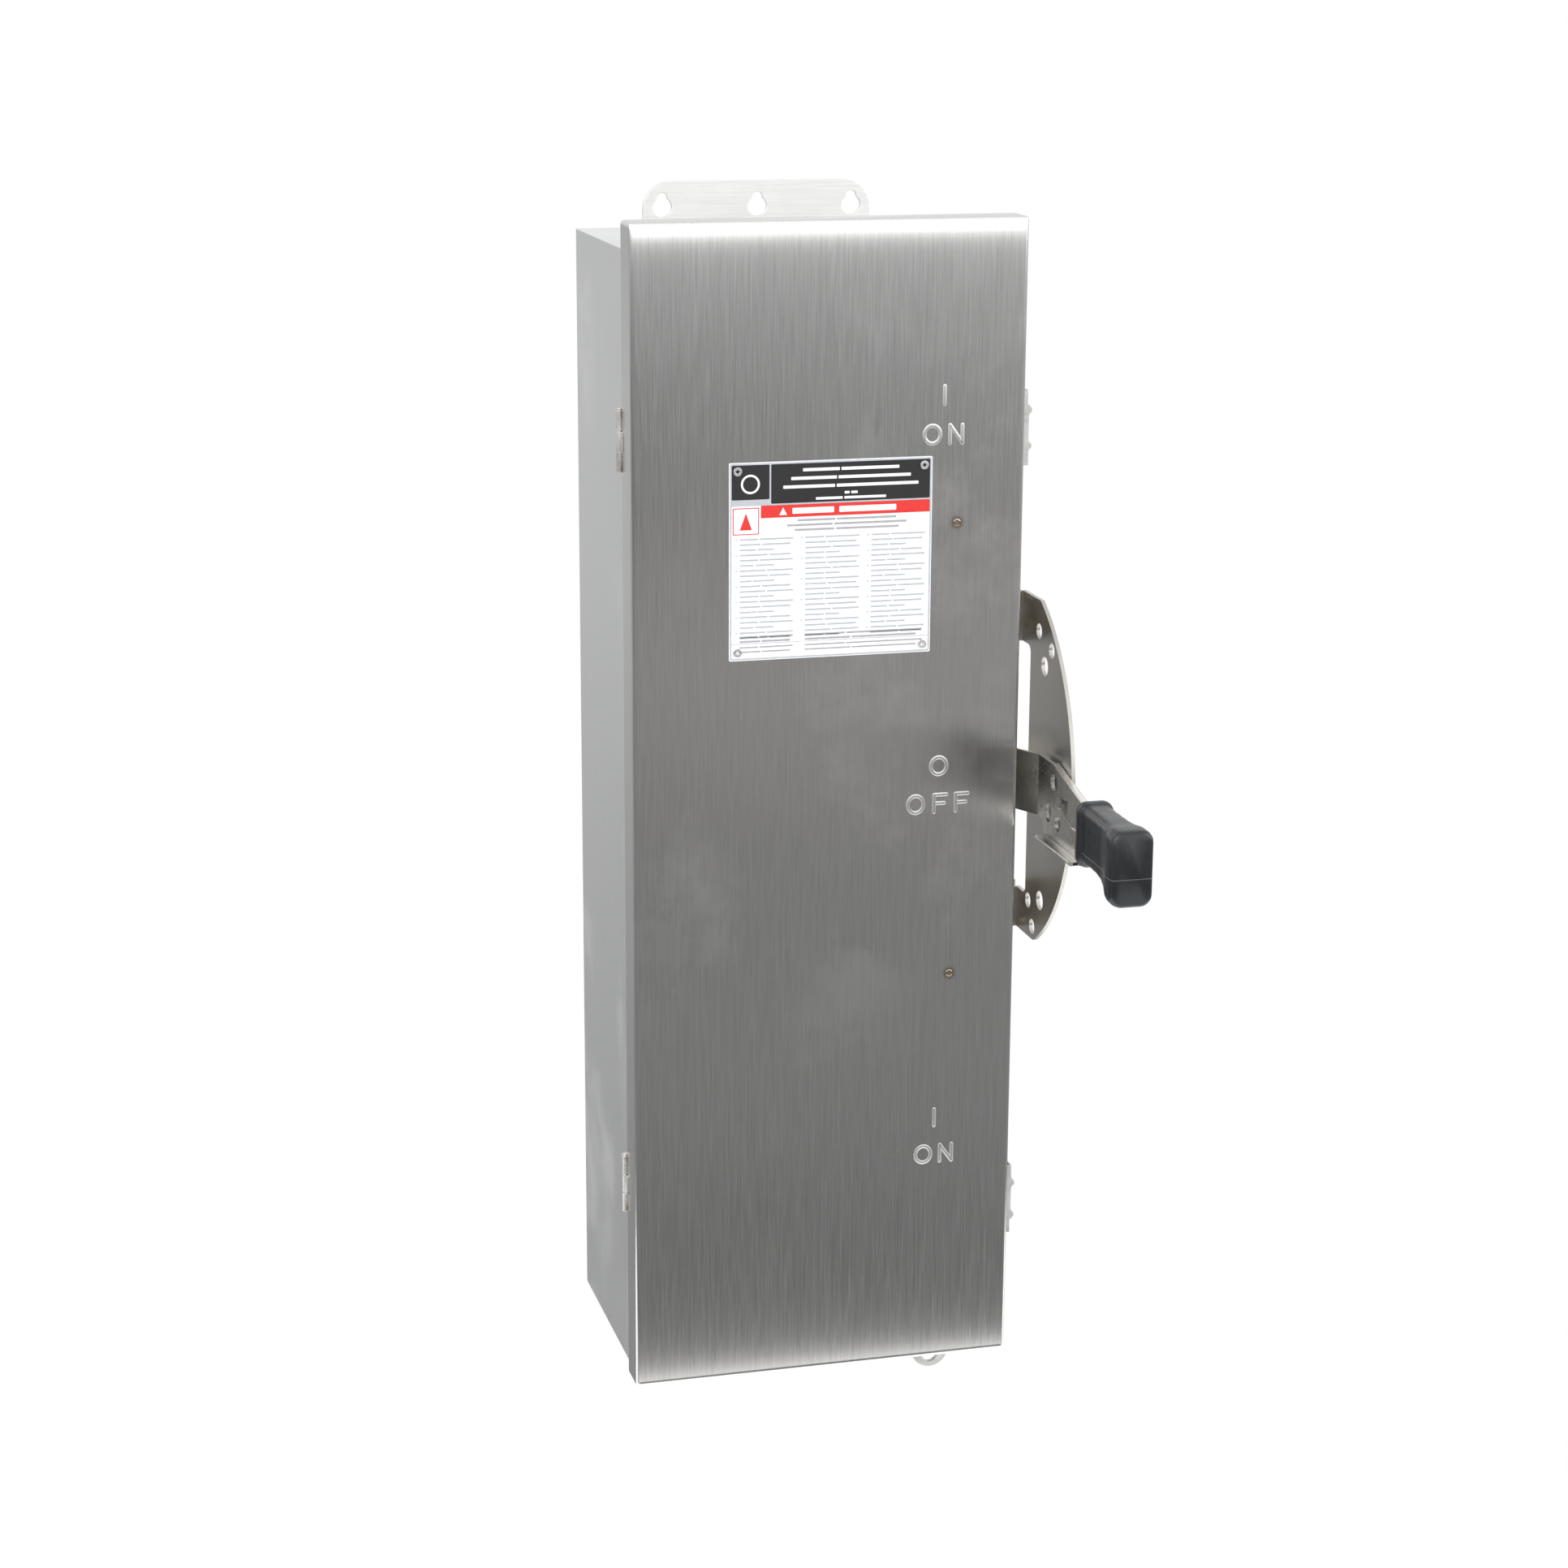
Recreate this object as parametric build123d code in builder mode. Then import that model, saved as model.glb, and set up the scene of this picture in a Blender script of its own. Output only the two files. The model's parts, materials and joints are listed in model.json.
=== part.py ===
from build123d import *
from math import cos, hypot, radians, sin
import os

# Fused double-throw disconnect switch in a gasketed stainless enclosure.
# Millimetres. +X to the right, +Y into the wall, +Z up. The origin is on the wall plane,
# at the centre of the mounting feet's width and at half the height of the door.

SIDES = (1, -1)
RUN = 0.05
OVERCUT = 1.0

# ---- driving dimensions: enclosure ----
DEPTH = 208.0
SHEET = 1.6
BOX_W = 289.0
BOX_TOP = 428.5
BOX_BOTTOM = -445.0
RIM_Y = -200.1
RIM_WIDTH = 12.0
BEND_R = 2.8
PANEL_Y = -16.0
PANEL_T = 2.0
PANEL_HALF_W = 132.0
PANEL_Z = (-422.0, 405.0)
PANEL_R = 6.0
PANEL_BOLT_X = 118.0
PANEL_BOLT_Z = (385.0, -400.0)
PANEL_BOLT_R = 3.0
PANEL_BOLT_FLATS = 10.0
PANEL_BOLT_HEAD = 4.0
STANDOFF_R = 4.0

# ---- driving dimensions: feet ----
FOOT_W = 183.0
FOOT_T = 3.0
FOOT_OVER = 34.8
FOOT_DEEP = 30.0
FOOT_R = 22.0
BOLT_PITCH = 76.2
BOLT_R = 4.3
BOLT_OVER = 21.8
KEY_HEAD_R = 7.6
KEY_DROP = 6.8

# ---- driving dimensions: door and its padlock hasp ----
DOOR_W = 302.0
DOOR_H = 900.0
DOOR_X = 3.5
DOOR_FLANGE = 28.4
SEAM = 0.8
SEAM_LONG = 20.0
GASKET = 6.0
GASKET_W = 11.0
GASKET_IN = 1.5
GASKET_R = 6.0
HASP_X = 100.5
HASP_Y = -178.5
HASP_HALF = 15.4
HASP_T = 2.0
HASP_HOLE_R = 6.2
HASP_HOLE_Z = -461.0
HASP_LOW = -471.0
HASP_SHOULDER = 2.0
HASP_TAB = 20.0
HASP_GAP = 0.5
HASP_TAB_T = 2.0
HASP_DOOR_TAB = 14.0
HASP_DOOR_TAB_T = 1.5

# ---- driving dimensions: hinges ----
HINGE_X = -147.9
HINGE_Y = -175.6
HINGE_Z = (289.0, -291.0)
HINGE_R = 3.4
HINGE_PIN_R = 1.5
HINGE_HEAD_R = 2.6
HINGE_HEAD = 1.2
KNUCKLE = 15.0
KNUCKLE_GAP = 0.4
LEAF = 1.0
LEAF_DEEP = 16.0
LEAF_WEB = 10.0
DOOR_LEAF = 1.2
DOOR_LEAF_DEEP = 5.0

# ---- driving dimensions: label and door catch ----
LABEL_X = (-73.6, 82.2)
LABEL_Z = (126.3, 274.6)
LABEL_T = 0.6
LABEL_R = 1.0
EYELET_IN = 6.3
EYELET_R = 3.3
EYELET_HEAD = 1.1
EYELET_SHANK_R = 2.0
EYELET_BORE_R = 1.3
STUD_X = 102.3
CATCH_Z = (-135.0, 229.0)
CATCH_R = 46.0
CATCH_STRIP = (2.0, 20.0)
CATCH_WEB = (7.0, 10.0)
CATCH_HALF = 9.0
CATCH_T = 3.0
CATCH_STRIP_T = 2.0

# ---- driving dimensions: latches ----
LATCH_Z = (292.0, -324.5)
LATCH_H = 56.5
LATCH_X = 151.5
LATCH_Y = -150.0
LATCH_OUT = 158.6
LATCH_FRONT = -201.0
LATCH_T = 1.4
LATCH_CLEAR = 0.8
LATCH_PIN_R = 2.0
LATCH_CURL_R = 3.4
LATCH_CURL_HALF = 18.6
LATCH_CUT = 9.0
LATCH_HOOK_R = 1.2
LATCH_SIDE_Y = -162.0
LATCH_EAR_DZ = 22.0
LATCH_EAR_HALF = 3.0
LATCH_EAR_R = 3.5
LATCH_PLATE_HALF = 27.0
LATCH_PLATE_T = 1.5
LATCH_PLATE_Y = (-158.0, -128.0)
LATCH_PIN_HALF = 26.0
LATCH_HEAD_R = 2.9
BEAD_DZ = 13.5
BEAD_R = 3.0
BEAD_SUNK = 0.9
BEAD_HALF = 4.0
BEAD_START = -170.0

# ---- driving dimensions: handle ----
PIVOT_Y = -107.0
PIVOT_Z = 19.5
THROW_UP = 54.0
THROW_DOWN = 51.0
ARM_T = 3.0
ARM_IN_X = 152.2
ARM_OUT_X = 172.7
ARM_HUB_Y = -67.0
ARM_HUB_Z = 15.9
ARM_HUB_R = 23.75
ARM_JOGGLE_Y = -163.0
ARM_BEND_Y = -205.0
ARM_STEP_Y = (-216.0, -221.0)
ARM_SHOULDER_Y = -235.0
ARM_NOSE_Y = -301.0
ARM_CHIN_Y = -305.0
ARM_TANG_START = -312.0
ARM_TANG_END = -336.0
ARM_TOP = 40.0
ARM_NOSE_Z = 26.0
ARM_LOW = -8.0
ARM_CHIN_Z = -22.0
TANG_Z = (-10.0, 18.0)
FLANGE_T = 3.0
TOP_FLANGE_W = 5.8
LOW_FLANGE_W = 8.0
LOW_FLANGE_END = -303.0
SMALL_HOLE_R = 1.3
SMALL_HOLE_Y = -214.0
SMALL_HOLE_Z = (27.0, 1.0)
WINDOW = ((-250.0, 17.3), (-272.5, 19.2), (-272.0, 5.8), (-250.5, 8.7))
RIB_T = 1.2
RIB_Y = (-282.5, -306.0)
RIB_Z = (-2.6, 2.0)
GRIP_X = 181.0
# Grip stations: distance in front of the wall, width, top, bottom, corner radius.
GRIP_STATIONS = (
    (308.0, 24.0, 28.0, -20.0, 7.0),
    (317.0, 24.0, 28.5, -20.0, 7.0),
    (320.0, 21.0, 27.0, -18.0, 6.0),
    (345.0, 22.0, 26.5, -19.5, 6.0),
    (368.0, 27.0, 26.5, -26.0, 7.0),
    (380.0, 33.0, 27.0, -30.0, 7.0),
    (391.0, 33.0, 26.5, -31.0, 7.0),
)
GRIP_END_R = 3.5
GRIP_POCKET_Z = (-22.0, 27.0)
GRIP_POCKET_END = -312.2

# ---- driving dimensions: padlock holes and lock plate ----
# Padlock holes of the arm: distance from the pivot, angle above straight out, radius.
HOLE_A = (133.6, 2.75, 7.3)
HOLE_B = (123.5, -9.2, 7.4)
HOLE_C = (145.0, -9.2, 6.2)
PAD_SMALL_R = 6.2
PAD_LARGE_R = 7.7
LOCK_HOLES = {
    1: (PAD_SMALL_R, PAD_LARGE_R, PAD_SMALL_R),
    0: (HOLE_A[2], HOLE_B[2], HOLE_C[2]),
    -1: (PAD_LARGE_R, PAD_SMALL_R, PAD_SMALL_R),
}
LOCK_X = 179.2
LOCK_T = 3.0
LOCK_R = 155.5
LOCK_HALF = 136.0
LOCK_WINDOW = (-103.5, 96.5)
LOCK_WINDOW_Y = -161.5
LOCK_WINDOW_R = 6.0
LOCK_CORNER_R = 3.0
LOCK_FOOT_Y = -139.0
LOCK_FOOT_W = 18.0
LOCK_SCREW_X = 172.0
LOCK_SCREW_DZ = (108.0, 129.0)
LOCK_SCREW_R = 2.5
LOCK_SCREW_HEAD_R = 4.4
LOCK_SCREW_HEAD = 3.2
LOCK_SCREW_DOME = (2.4, 2.6)
LOCK_NUT_FLATS = 8.0
LOCK_NUT = 4.0
LOCK_BRACKET_LOW = 98.5
LOCK_BRACKET_DEEP = 30.0

# ---- driving dimensions: shaft and mechanism ----
SHAFT_R = 7.0
STUD_R = 5.0
STUD_LONG = 13.0
NUT_FLATS = 16.0
NUT_T = 8.0
BUSHING_R = 11.0
BUSHING_IN = 13.0
BUSHING_FLANGE_R = 16.0
BUSHING_FLANGE = 5.0
BUSHING_NUT_FLATS = 30.0
CRANK_X = (70.0, 74.0)
CRANK_R = 28.0
CRANK_HUB_R = 13.0
LOBE_R = 8.0
PIN_R = 4.0
LINK_X = {1: (62.0, 65.0), -1: (57.0, 60.0)}
LINK_SLOT_W = 5.0
CAM_X = (103.3, 106.3)
CAM_HUB_R = 15.0
CAM_HUB_OUT = (3.0, 2.0)
FINGER_W = 7.0
FINGER_R = 53.5
FINGER_START = 26.0
FINGER_SPAN = 50.0
STEM_ANGLE = 75.0
STEM_W = 9.0
DETENT_R = 25.0
DETENT_X = (92.0, 98.0)
DETENT_NOTCH_R = 4.0
DETENT_NOTCH_OUT = 1.5
SPRING_NOSE_R = 3.2
SPRING_T = 1.2
SPRING_HALF = 34.0
SPRING_OUT = 1.8
BRACKET_X = (84.0, 87.0)
BRACKET_HALF = 38.0
BRACKET_FOOT_X = 116.0
BRACKET_R = 12.0
BRACKET_SCREW_X = 106.0
BRACKET_SCREW_DZ = 24.0
SHELF_DZ = (22.0, 34.0)
SHELF_OUT = 4.5

# ---- driving dimensions: fixed switch parts ----
BASE_Y = -34.0
POLES = (-82.0, -28.0, 26.0)
GAPS = (-55.0, -1.0)
AXIS_Y = -62.0
AXIS_DZ = 180.0
BASE_X = (-114.0, 55.0)
BASE_SPAN = (82.0, 308.0)
BASE_R = 4.0
BASE_SCREWS = ((-55.0, 100.0), (-1.0, 100.0), (-55.0, 295.0), (-1.0, 295.0))
BASE_RIB = (120.0, 270.0)
BASE_RIB_T = 3.0
LOAD_HALF = 70.0
LOAD_FIN_HALF = 62.0
LOAD_FIN = (4.0, 30.0)
LOAD_SCREW_IN = 9.0
LOAD_SCREW_DZ = 60.0
SCREW_R = 2.6
SCREW_SHANK_R = 2.5
SCREW_HEAD_R = 4.4
SCREW_HEAD = 3.0
SCREW_SLOT = (1.2, 1.0)
STRAP_T = 3.0
STRAP_HALF = 8.0
JAW_DZ = (228.0, 247.0)
JAW_STRAP_DZ = (222.0, 302.0)
JAW_OUT = 42.0
JAW_ROOT = 8.0
JAW_CLEAR = 0.3
LEAF_T = 2.0
POST_STRAP_DZ = (134.0, 191.0)
POST_R = 10.0
BUSBAR_HALF = 110.0
FUSE_DZ = 122.0
FUSE_L = 60.3
FUSE_R = 13.1
FUSE_Y = -56.5
FUSE_CAP = 15.0
FUSE_TUBE_IN = 0.4
FUSE_EDGE = 0.8
CLIP_DZ = (100.5, 143.5)
CLIP_H = 12.0
CLIP_T = 1.2
CLIP_MOUTH = (19.0, 14.0)
LUG_DZ = (278.0, 300.0)
LUG_W = 22.0
LUG_D = 24.0
LUG_SCREW_R = 5.0
LUG_SCREW_DEEP = 12.0
LUG_SCREW_SLOT = (1.4, 2.0)
WIRE_R = 5.0
WIRE_OUT = 9.0
BARRIER_T = 2.4
BARRIER_GAP = 0.2
BARRIER_FRONT = -112.0
BARRIER_DZ = (224.0, 306.0)
CHUTE_HALF = 15.0
CHUTE_FRONT = -106.0
CHUTE_DZ = (222.0, 256.0)
CHUTE_SLOT_HALF = 4.1
CHUTE_SLOT_TOP = 251.0
CHUTE_GROOVES = (-66.0, -76.0, -86.0, -96.0)
CHUTE_GROOVE = 4.0
CHUTE_GROOVE_HALF = 12.0
BEARING_X = ((-103.0, -100.0), (43.0, 46.0))
BEARING_R = 11.0
BEARING_TOE = 6.0
BEARING_TOE_T = 2.5
BEARING_STUD_OUT = 2.0
GROUND_X = (84.0, 128.0)
GROUND_Z = (-352.0, -338.0)
GROUND_D = 12.0
GROUND_FIRST_X = 90.0
GROUND_PITCH = 11.0
GROUND_COUNT = 4
GROUND_WIRE_R = 2.5
GROUND_WIRE_OUT = 5.0
GROUND_HEAD_R = 4.0
GROUND_SCREW_DEEP = 4.0

# ---- driving dimensions: blade rotors ----
ARM_PLATES = ((-109.0, -106.0), (49.0, 52.0))
BLADE_LEN = 66.0
BLADE_TAIL = 9.0
BLADE_W = 16.0
BLADE_T = 3.0
BLADE_END_R = 7.0
BAR_AT = 30.0
BAR_SECTION = (16.0, 24.0)
ROTOR_HUB_R = 11.0
ROTOR_ARM = (40.0, 20.0)

# ---- worked out from the driving dimensions ----
DOOR_FRONT = -DEPTH
DOOR_BACK = -DEPTH + DOOR_FLANGE
DOOR_INNER = DOOR_FRONT + SHEET
DOOR_LEFT = DOOR_X - DOOR_W / 2
DOOR_RIGHT = DOOR_X + DOOR_W / 2
DOOR_TOP = DOOR_H / 2
WALL_X = BOX_W / 2
INNER_X = WALL_X - SHEET
BOX_H = BOX_TOP - BOX_BOTTOM
BOX_MID_Z = (BOX_TOP + BOX_BOTTOM) / 2
HINGE_HALF = 1.5 * KNUCKLE + KNUCKLE_GAP
LATCH_SKIN = LATCH_OUT + LATCH_T
JAW_GAP = BLADE_T / 2 + JAW_CLEAR
LUG_MID = sum(LUG_DZ) / 2
LUG_HALF = (LUG_DZ[1] - LUG_DZ[0]) / 2
LUG_BACK = BASE_Y - STRAP_T
LUG_FRONT = LUG_BACK - LUG_D
REST_ANGLE = {1: 90 - THROW_UP, -1: 90 - THROW_DOWN}


# ---- helpers: each one adds to the part being built ----
def block(xs, ys, zs, mode=Mode.ADD):
    """A plain block between two corners."""
    centre = ((xs[0] + xs[1]) / 2, (ys[0] + ys[1]) / 2, (zs[0] + zs[1]) / 2)
    with Locations(centre):
        Box(abs(xs[1] - xs[0]), abs(ys[1] - ys[0]), abs(zs[1] - zs[0]), mode=mode)


def rod_x(radius, xs, y, z, mode=Mode.ADD):
    """A round bar along X."""
    with Locations(((xs[0] + xs[1]) / 2, y, z)):
        Cylinder(radius, abs(xs[1] - xs[0]), rotation=(0, 90, 0), mode=mode)


def rod_y(radius, x, ys, z, mode=Mode.ADD):
    """A round bar along Y."""
    with Locations((x, (ys[0] + ys[1]) / 2, z)):
        Cylinder(radius, abs(ys[1] - ys[0]), rotation=(90, 0, 0), mode=mode)


def rod_z(radius, x, y, zs, mode=Mode.ADD):
    """A round bar along Z."""
    with Locations((x, y, (zs[0] + zs[1]) / 2)):
        Cylinder(radius, abs(zs[1] - zs[0]), mode=mode)


def hex_x(flats, xs, y, z):
    """A hexagonal prism along X."""
    with BuildSketch(Plane.YZ.offset(min(xs))) as hexagon:
        with Locations((y, z)):
            RegularPolygon(flats / 2, 6, major_radius=False)
    extrude(hexagon.sketch, amount=abs(xs[1] - xs[0]))


def hex_y(flats, x, ys, z):
    """A hexagonal prism along Y."""
    with BuildSketch(Plane.XZ.offset(-max(ys))) as hexagon:
        with Locations((x, z)):
            RegularPolygon(flats / 2, 6, major_radius=False)
    extrude(hexagon.sketch, amount=abs(ys[1] - ys[0]))


def past(span):
    """A span made longer at both ends, for a cut that runs clear through."""
    return (min(span) - OVERCUT, max(span) + OVERCUT)


def around(middle, half):
    """A span given by its middle and half its length."""
    return (middle - half, middle + half)


def save(piece, label):
    """Name a finished piece and write it."""
    piece.part.label = label
    export_step(piece.part, f"parts/{label}.step")


def lever_plane(x, y, z, angle):
    """A plane square to X whose own x axis points angle degrees above straight out of the box."""
    out = (0, -cos(radians(angle)), sin(radians(angle)))
    return Plane(origin=(x, y, z), x_dir=out, z_dir=(1, 0, 0))


def polar(radius, angle):
    """(y, z) of a point at this radius and angle above straight out, about the handle pivot."""
    return (PIVOT_Y - radius * cos(radians(angle)), PIVOT_Z + radius * sin(radians(angle)))


def axis_z(side):
    """Height of a throw's blade axis: side 1 is the upper throw, side -1 the lower."""
    return PIVOT_Z + side * AXIS_DZ


def zspan(side, low, high):
    """A stretch of height given by its distances from the handle pivot, outward on one side."""
    return (PIVOT_Z + side * low, PIVOT_Z + side * high)


# ---- enclosure ----
def enclosure_box():
    with BuildPart() as box:
        with BuildSketch(Plane.XZ):
            with Locations((0, BOX_MID_Z)):
                Rectangle(BOX_W, BOX_H)
        extrude(amount=-RIM_Y - SHEET)
        back = box.faces().sort_by(Axis.Y)[-1]
        fillet(back.edges(), BEND_R)
        front = box.faces().sort_by(Axis.Y)[0]
        offset(amount=-SHEET, openings=front)
        rod_x(BUSHING_R + 2 * RUN, past((INNER_X, WALL_X)), PIVOT_Y, PIVOT_Z, Mode.SUBTRACT)
    save(box, "enclosure_box")


def box_rim():
    """Flat frame welded round the mouth of the box, for the door gasket to press on."""
    with BuildPart() as rim:
        with BuildSketch(Plane.XZ.offset(-RIM_Y - SHEET)):
            with Locations((0, BOX_MID_Z)):
                Rectangle(BOX_W, BOX_H)
                Rectangle(BOX_W - 2 * RIM_WIDTH, BOX_H - 2 * RIM_WIDTH, mode=Mode.SUBTRACT)
        extrude(amount=SHEET)
    save(rim, "box_rim")


def keyhole(x, z, side):
    """Keyhole with its bolt seat at (x, z) and its head entry below it; side -1 has a plain hole."""
    rod_y(BOLT_R, x, past((0, -FOOT_T)), z, Mode.SUBTRACT)
    if side > 0:
        rod_y(KEY_HEAD_R, x, past((0, -FOOT_T)), z - KEY_DROP, Mode.SUBTRACT)


def mounting_foot(label, side, edge_z):
    """Angle welded to the box; side 1 stands above the box top, side -1 hangs below its bottom."""
    inner = side * FOOT_OVER / 2
    with BuildPart() as foot:
        with BuildSketch(Plane.XZ):
            with Locations((0, edge_z)):
                RectangleRounded(FOOT_W, 2 * FOOT_OVER, FOOT_R)
            with Locations((0, edge_z - inner)):
                Rectangle(FOOT_W, FOOT_OVER, mode=Mode.SUBTRACT)
        extrude(amount=FOOT_T)
        block((-FOOT_W / 2, FOOT_W / 2), (0, -FOOT_DEEP), (edge_z, edge_z + side * FOOT_T))
        for i in (-1, 0, 1):
            keyhole(i * BOLT_PITCH, edge_z + side * BOLT_OVER, side)
    save(foot, label)


def panel_bolt_places():
    return [(x, z) for x in (-PANEL_BOLT_X, PANEL_BOLT_X) for z in PANEL_BOLT_Z]


def mounting_panel():
    thickness = (PANEL_Y, PANEL_Y + PANEL_T)
    with BuildPart() as panel:
        block((-PANEL_HALF_W, PANEL_HALF_W), thickness, PANEL_Z)
        fillet(panel.edges().filter_by(Axis.Y), PANEL_R)
        for x, z in panel_bolt_places():
            rod_y(PANEL_BOLT_R + 2 * RUN, x, past(thickness), z, Mode.SUBTRACT)
    save(panel, "mounting_panel")


def panel_bolts():
    """Shouldered bolts that stand the mounting panel off the back of the box."""
    with BuildPart() as bolts:
        for x, z in panel_bolt_places():
            rod_y(STANDOFF_R, x, (-SHEET, PANEL_Y + PANEL_T), z)
            rod_y(PANEL_BOLT_R, x, (PANEL_Y, PANEL_Y + PANEL_T), z)
            hex_y(PANEL_BOLT_FLATS, x, (PANEL_Y, PANEL_Y - PANEL_BOLT_HEAD), z)
    save(bolts, "panel_bolts")


def ear_profile(front_y):
    """Round-ended padlock ear hanging below the box, its face towards the front at front_y."""
    straight_z = HASP_HOLE_Z + HASP_SHOULDER
    with BuildSketch(Plane.XZ.offset(-front_y - HASP_T)) as profile:
        with Locations((HASP_X, HASP_LOW + HASP_HALF)):
            Circle(HASP_HALF)
        with Locations((HASP_X, (BOX_BOTTOM + straight_z) / 2)):
            Rectangle(2 * HASP_HALF, BOX_BOTTOM - straight_z)
        with Locations((HASP_X, BOX_BOTTOM + HASP_HALF)):
            Rectangle(4 * HASP_HALF, 2 * HASP_HALF, mode=Mode.SUBTRACT)
        with Locations((HASP_X, HASP_HOLE_Z)):
            Circle(HASP_HOLE_R, mode=Mode.SUBTRACT)
    extrude(profile.sketch, amount=HASP_T)


def hasp_ear():
    face_y = HASP_Y + HASP_GAP
    tab_z = (BOX_BOTTOM - HASP_TAB_T, BOX_BOTTOM)
    with BuildPart() as ear:
        ear_profile(face_y)
        block(around(HASP_X, HASP_HALF), (face_y, HASP_Y + HASP_TAB), tab_z)
    save(ear, "hasp_ear")


# ---- hinges ----
def hinge_box_leaves():
    leaf_x = (-WALL_X - LEAF, -WALL_X)
    leaf_front = HINGE_Y - LEAF_DEEP
    with BuildPart() as leaves:
        for z in HINGE_Z:
            for low in (z - HINGE_HALF, z + HINGE_HALF - KNUCKLE):
                rod_z(HINGE_R, HINGE_X, HINGE_Y, (low, low + KNUCKLE))
                block(leaf_x, (leaf_front, HINGE_Y), (low, low + KNUCKLE))
            block(leaf_x, (leaf_front, leaf_front + LEAF_WEB), around(z, HINGE_HALF))
            rod_z(HINGE_PIN_R + RUN, HINGE_X, HINGE_Y, past(around(z, HINGE_HALF)), Mode.SUBTRACT)
    save(leaves, "hinge_box_leaves")


def hinge_door_leaves():
    leaf_y = (DOOR_BACK - DOOR_LEAF_DEEP, HINGE_Y - OVERCUT)
    with BuildPart() as leaves:
        for z in HINGE_Z:
            span = around(z, KNUCKLE / 2)
            rod_z(HINGE_R, HINGE_X, HINGE_Y, span)
            block((DOOR_LEFT - DOOR_LEAF, DOOR_LEFT), leaf_y, span)
            rod_z(HINGE_PIN_R + RUN, HINGE_X, HINGE_Y, past(span), Mode.SUBTRACT)
    save(leaves, "hinge_door_leaves")


def hinge_pins():
    with BuildPart() as pins:
        for z in HINGE_Z:
            top = z + HINGE_HALF
            rod_z(HINGE_PIN_R, HINGE_X, HINGE_Y, around(z, HINGE_HALF))
            rod_z(HINGE_HEAD_R, HINGE_X, HINGE_Y, (top, top + HINGE_HEAD))
    save(pins, "hinge_pins")


# ---- door ----
def door_panel():
    """Pan with a flange on four sides; a narrow seam splits the flanges at each corner."""
    seam_y = (DOOR_BACK + OVERCUT, DOOR_BACK - SEAM_LONG - OVERCUT)
    with BuildPart() as door:
        with BuildSketch(Plane.XZ.offset(-DOOR_BACK)):
            with Locations((DOOR_X, 0)):
                Rectangle(DOOR_W, DOOR_H)
        extrude(amount=DOOR_FLANGE)
        front = door.faces().sort_by(Axis.Y)[0]
        fillet(front.edges(), BEND_R)
        back = door.faces().sort_by(Axis.Y)[-1]
        offset(amount=-SHEET, openings=back)
        for x, inward in ((DOOR_LEFT, 1), (DOOR_RIGHT, -1)):
            seam_x = (x - inward * OVERCUT, x + inward * (SHEET + OVERCUT))
            for z, down in ((DOOR_TOP, -1), (-DOOR_TOP, 1)):
                edge = z + down * SHEET
                block(seam_x, seam_y, (edge, edge + down * SEAM), Mode.SUBTRACT)
    save(door, "door_panel")


def door_hasp_ear():
    """Padlock ear with a tab under the door's lower flange, cut clear of the door itself."""
    low = -DOOR_TOP
    tab_z = (low - HASP_DOOR_TAB_T, low)
    clear_x = around(HASP_X, 2 * HASP_HALF)
    clear_y = (HASP_Y + OVERCUT, DOOR_BACK - SEAM_LONG)
    with BuildPart() as ear:
        ear_profile(HASP_Y - HASP_T)
        block(around(HASP_X, HASP_HALF), (DOOR_BACK - HASP_DOOR_TAB, HASP_Y), tab_z)
        block(clear_x, clear_y, (low, low + SEAM_LONG), Mode.SUBTRACT)
    save(ear, "door_hasp_ear")


def door_gasket():
    width = BOX_W - 2 * GASKET_IN
    height = BOX_H - 2 * GASKET_IN
    with BuildPart() as gasket:
        with BuildSketch(Plane.XZ.offset(-DOOR_INNER - GASKET)):
            with Locations((0, BOX_MID_Z)):
                RectangleRounded(width, height, GASKET_R)
                hole = (width - 2 * GASKET_W, height - 2 * GASKET_W)
                RectangleRounded(*hole, GASKET_R - 2, mode=Mode.SUBTRACT)
        extrude(amount=GASKET)
    save(gasket, "door_gasket")


def eyelet_places():
    xs = (LABEL_X[0] + EYELET_IN, LABEL_X[1] - EYELET_IN)
    zs = (LABEL_Z[0] + EYELET_IN, LABEL_Z[1] - EYELET_IN)
    return [(x, z) for x in xs for z in zs]


def label_plate():
    thickness = (DOOR_FRONT, DOOR_FRONT - LABEL_T)
    with BuildPart() as label:
        block(LABEL_X, thickness, LABEL_Z)
        fillet(label.edges().filter_by(Axis.Y), LABEL_R)
        for x, z in eyelet_places():
            rod_y(EYELET_SHANK_R + RUN, x, past(thickness), z, Mode.SUBTRACT)
    save(label, "label_plate")


def label_eyelets():
    face = DOOR_FRONT - LABEL_T
    with BuildPart() as eyelets:
        for x, z in eyelet_places():
            rod_y(EYELET_R, x, (face, face - EYELET_HEAD), z)
            rod_y(EYELET_SHANK_R, x, (DOOR_FRONT, face), z)
            rod_y(EYELET_BORE_R, x, (face, face - 2 * EYELET_HEAD), z, Mode.SUBTRACT)
    save(eyelets, "label_eyelets")


def door_interlock_catch():
    """Strip welded behind the door at two spots, with a hooked tongue that the cam's fingers block."""
    hook_y = PIVOT_Y - CATCH_R
    strip_x = (STUD_X + CATCH_STRIP[0], STUD_X + CATCH_STRIP[1])
    web_x = (STUD_X + CATCH_WEB[0], STUD_X + CATCH_WEB[1])
    hook_x = (STUD_X - 1, web_x[1])
    tongue_z = around(PIVOT_Z, CATCH_HALF)
    with BuildPart() as catch:
        block(strip_x, (DOOR_INNER, DOOR_INNER + CATCH_STRIP_T), CATCH_Z)
        block(web_x, (DOOR_INNER, hook_y), tongue_z)
        block(hook_x, (hook_y - CATCH_T, hook_y), tongue_z)
    save(catch, "door_interlock_catch")


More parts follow.
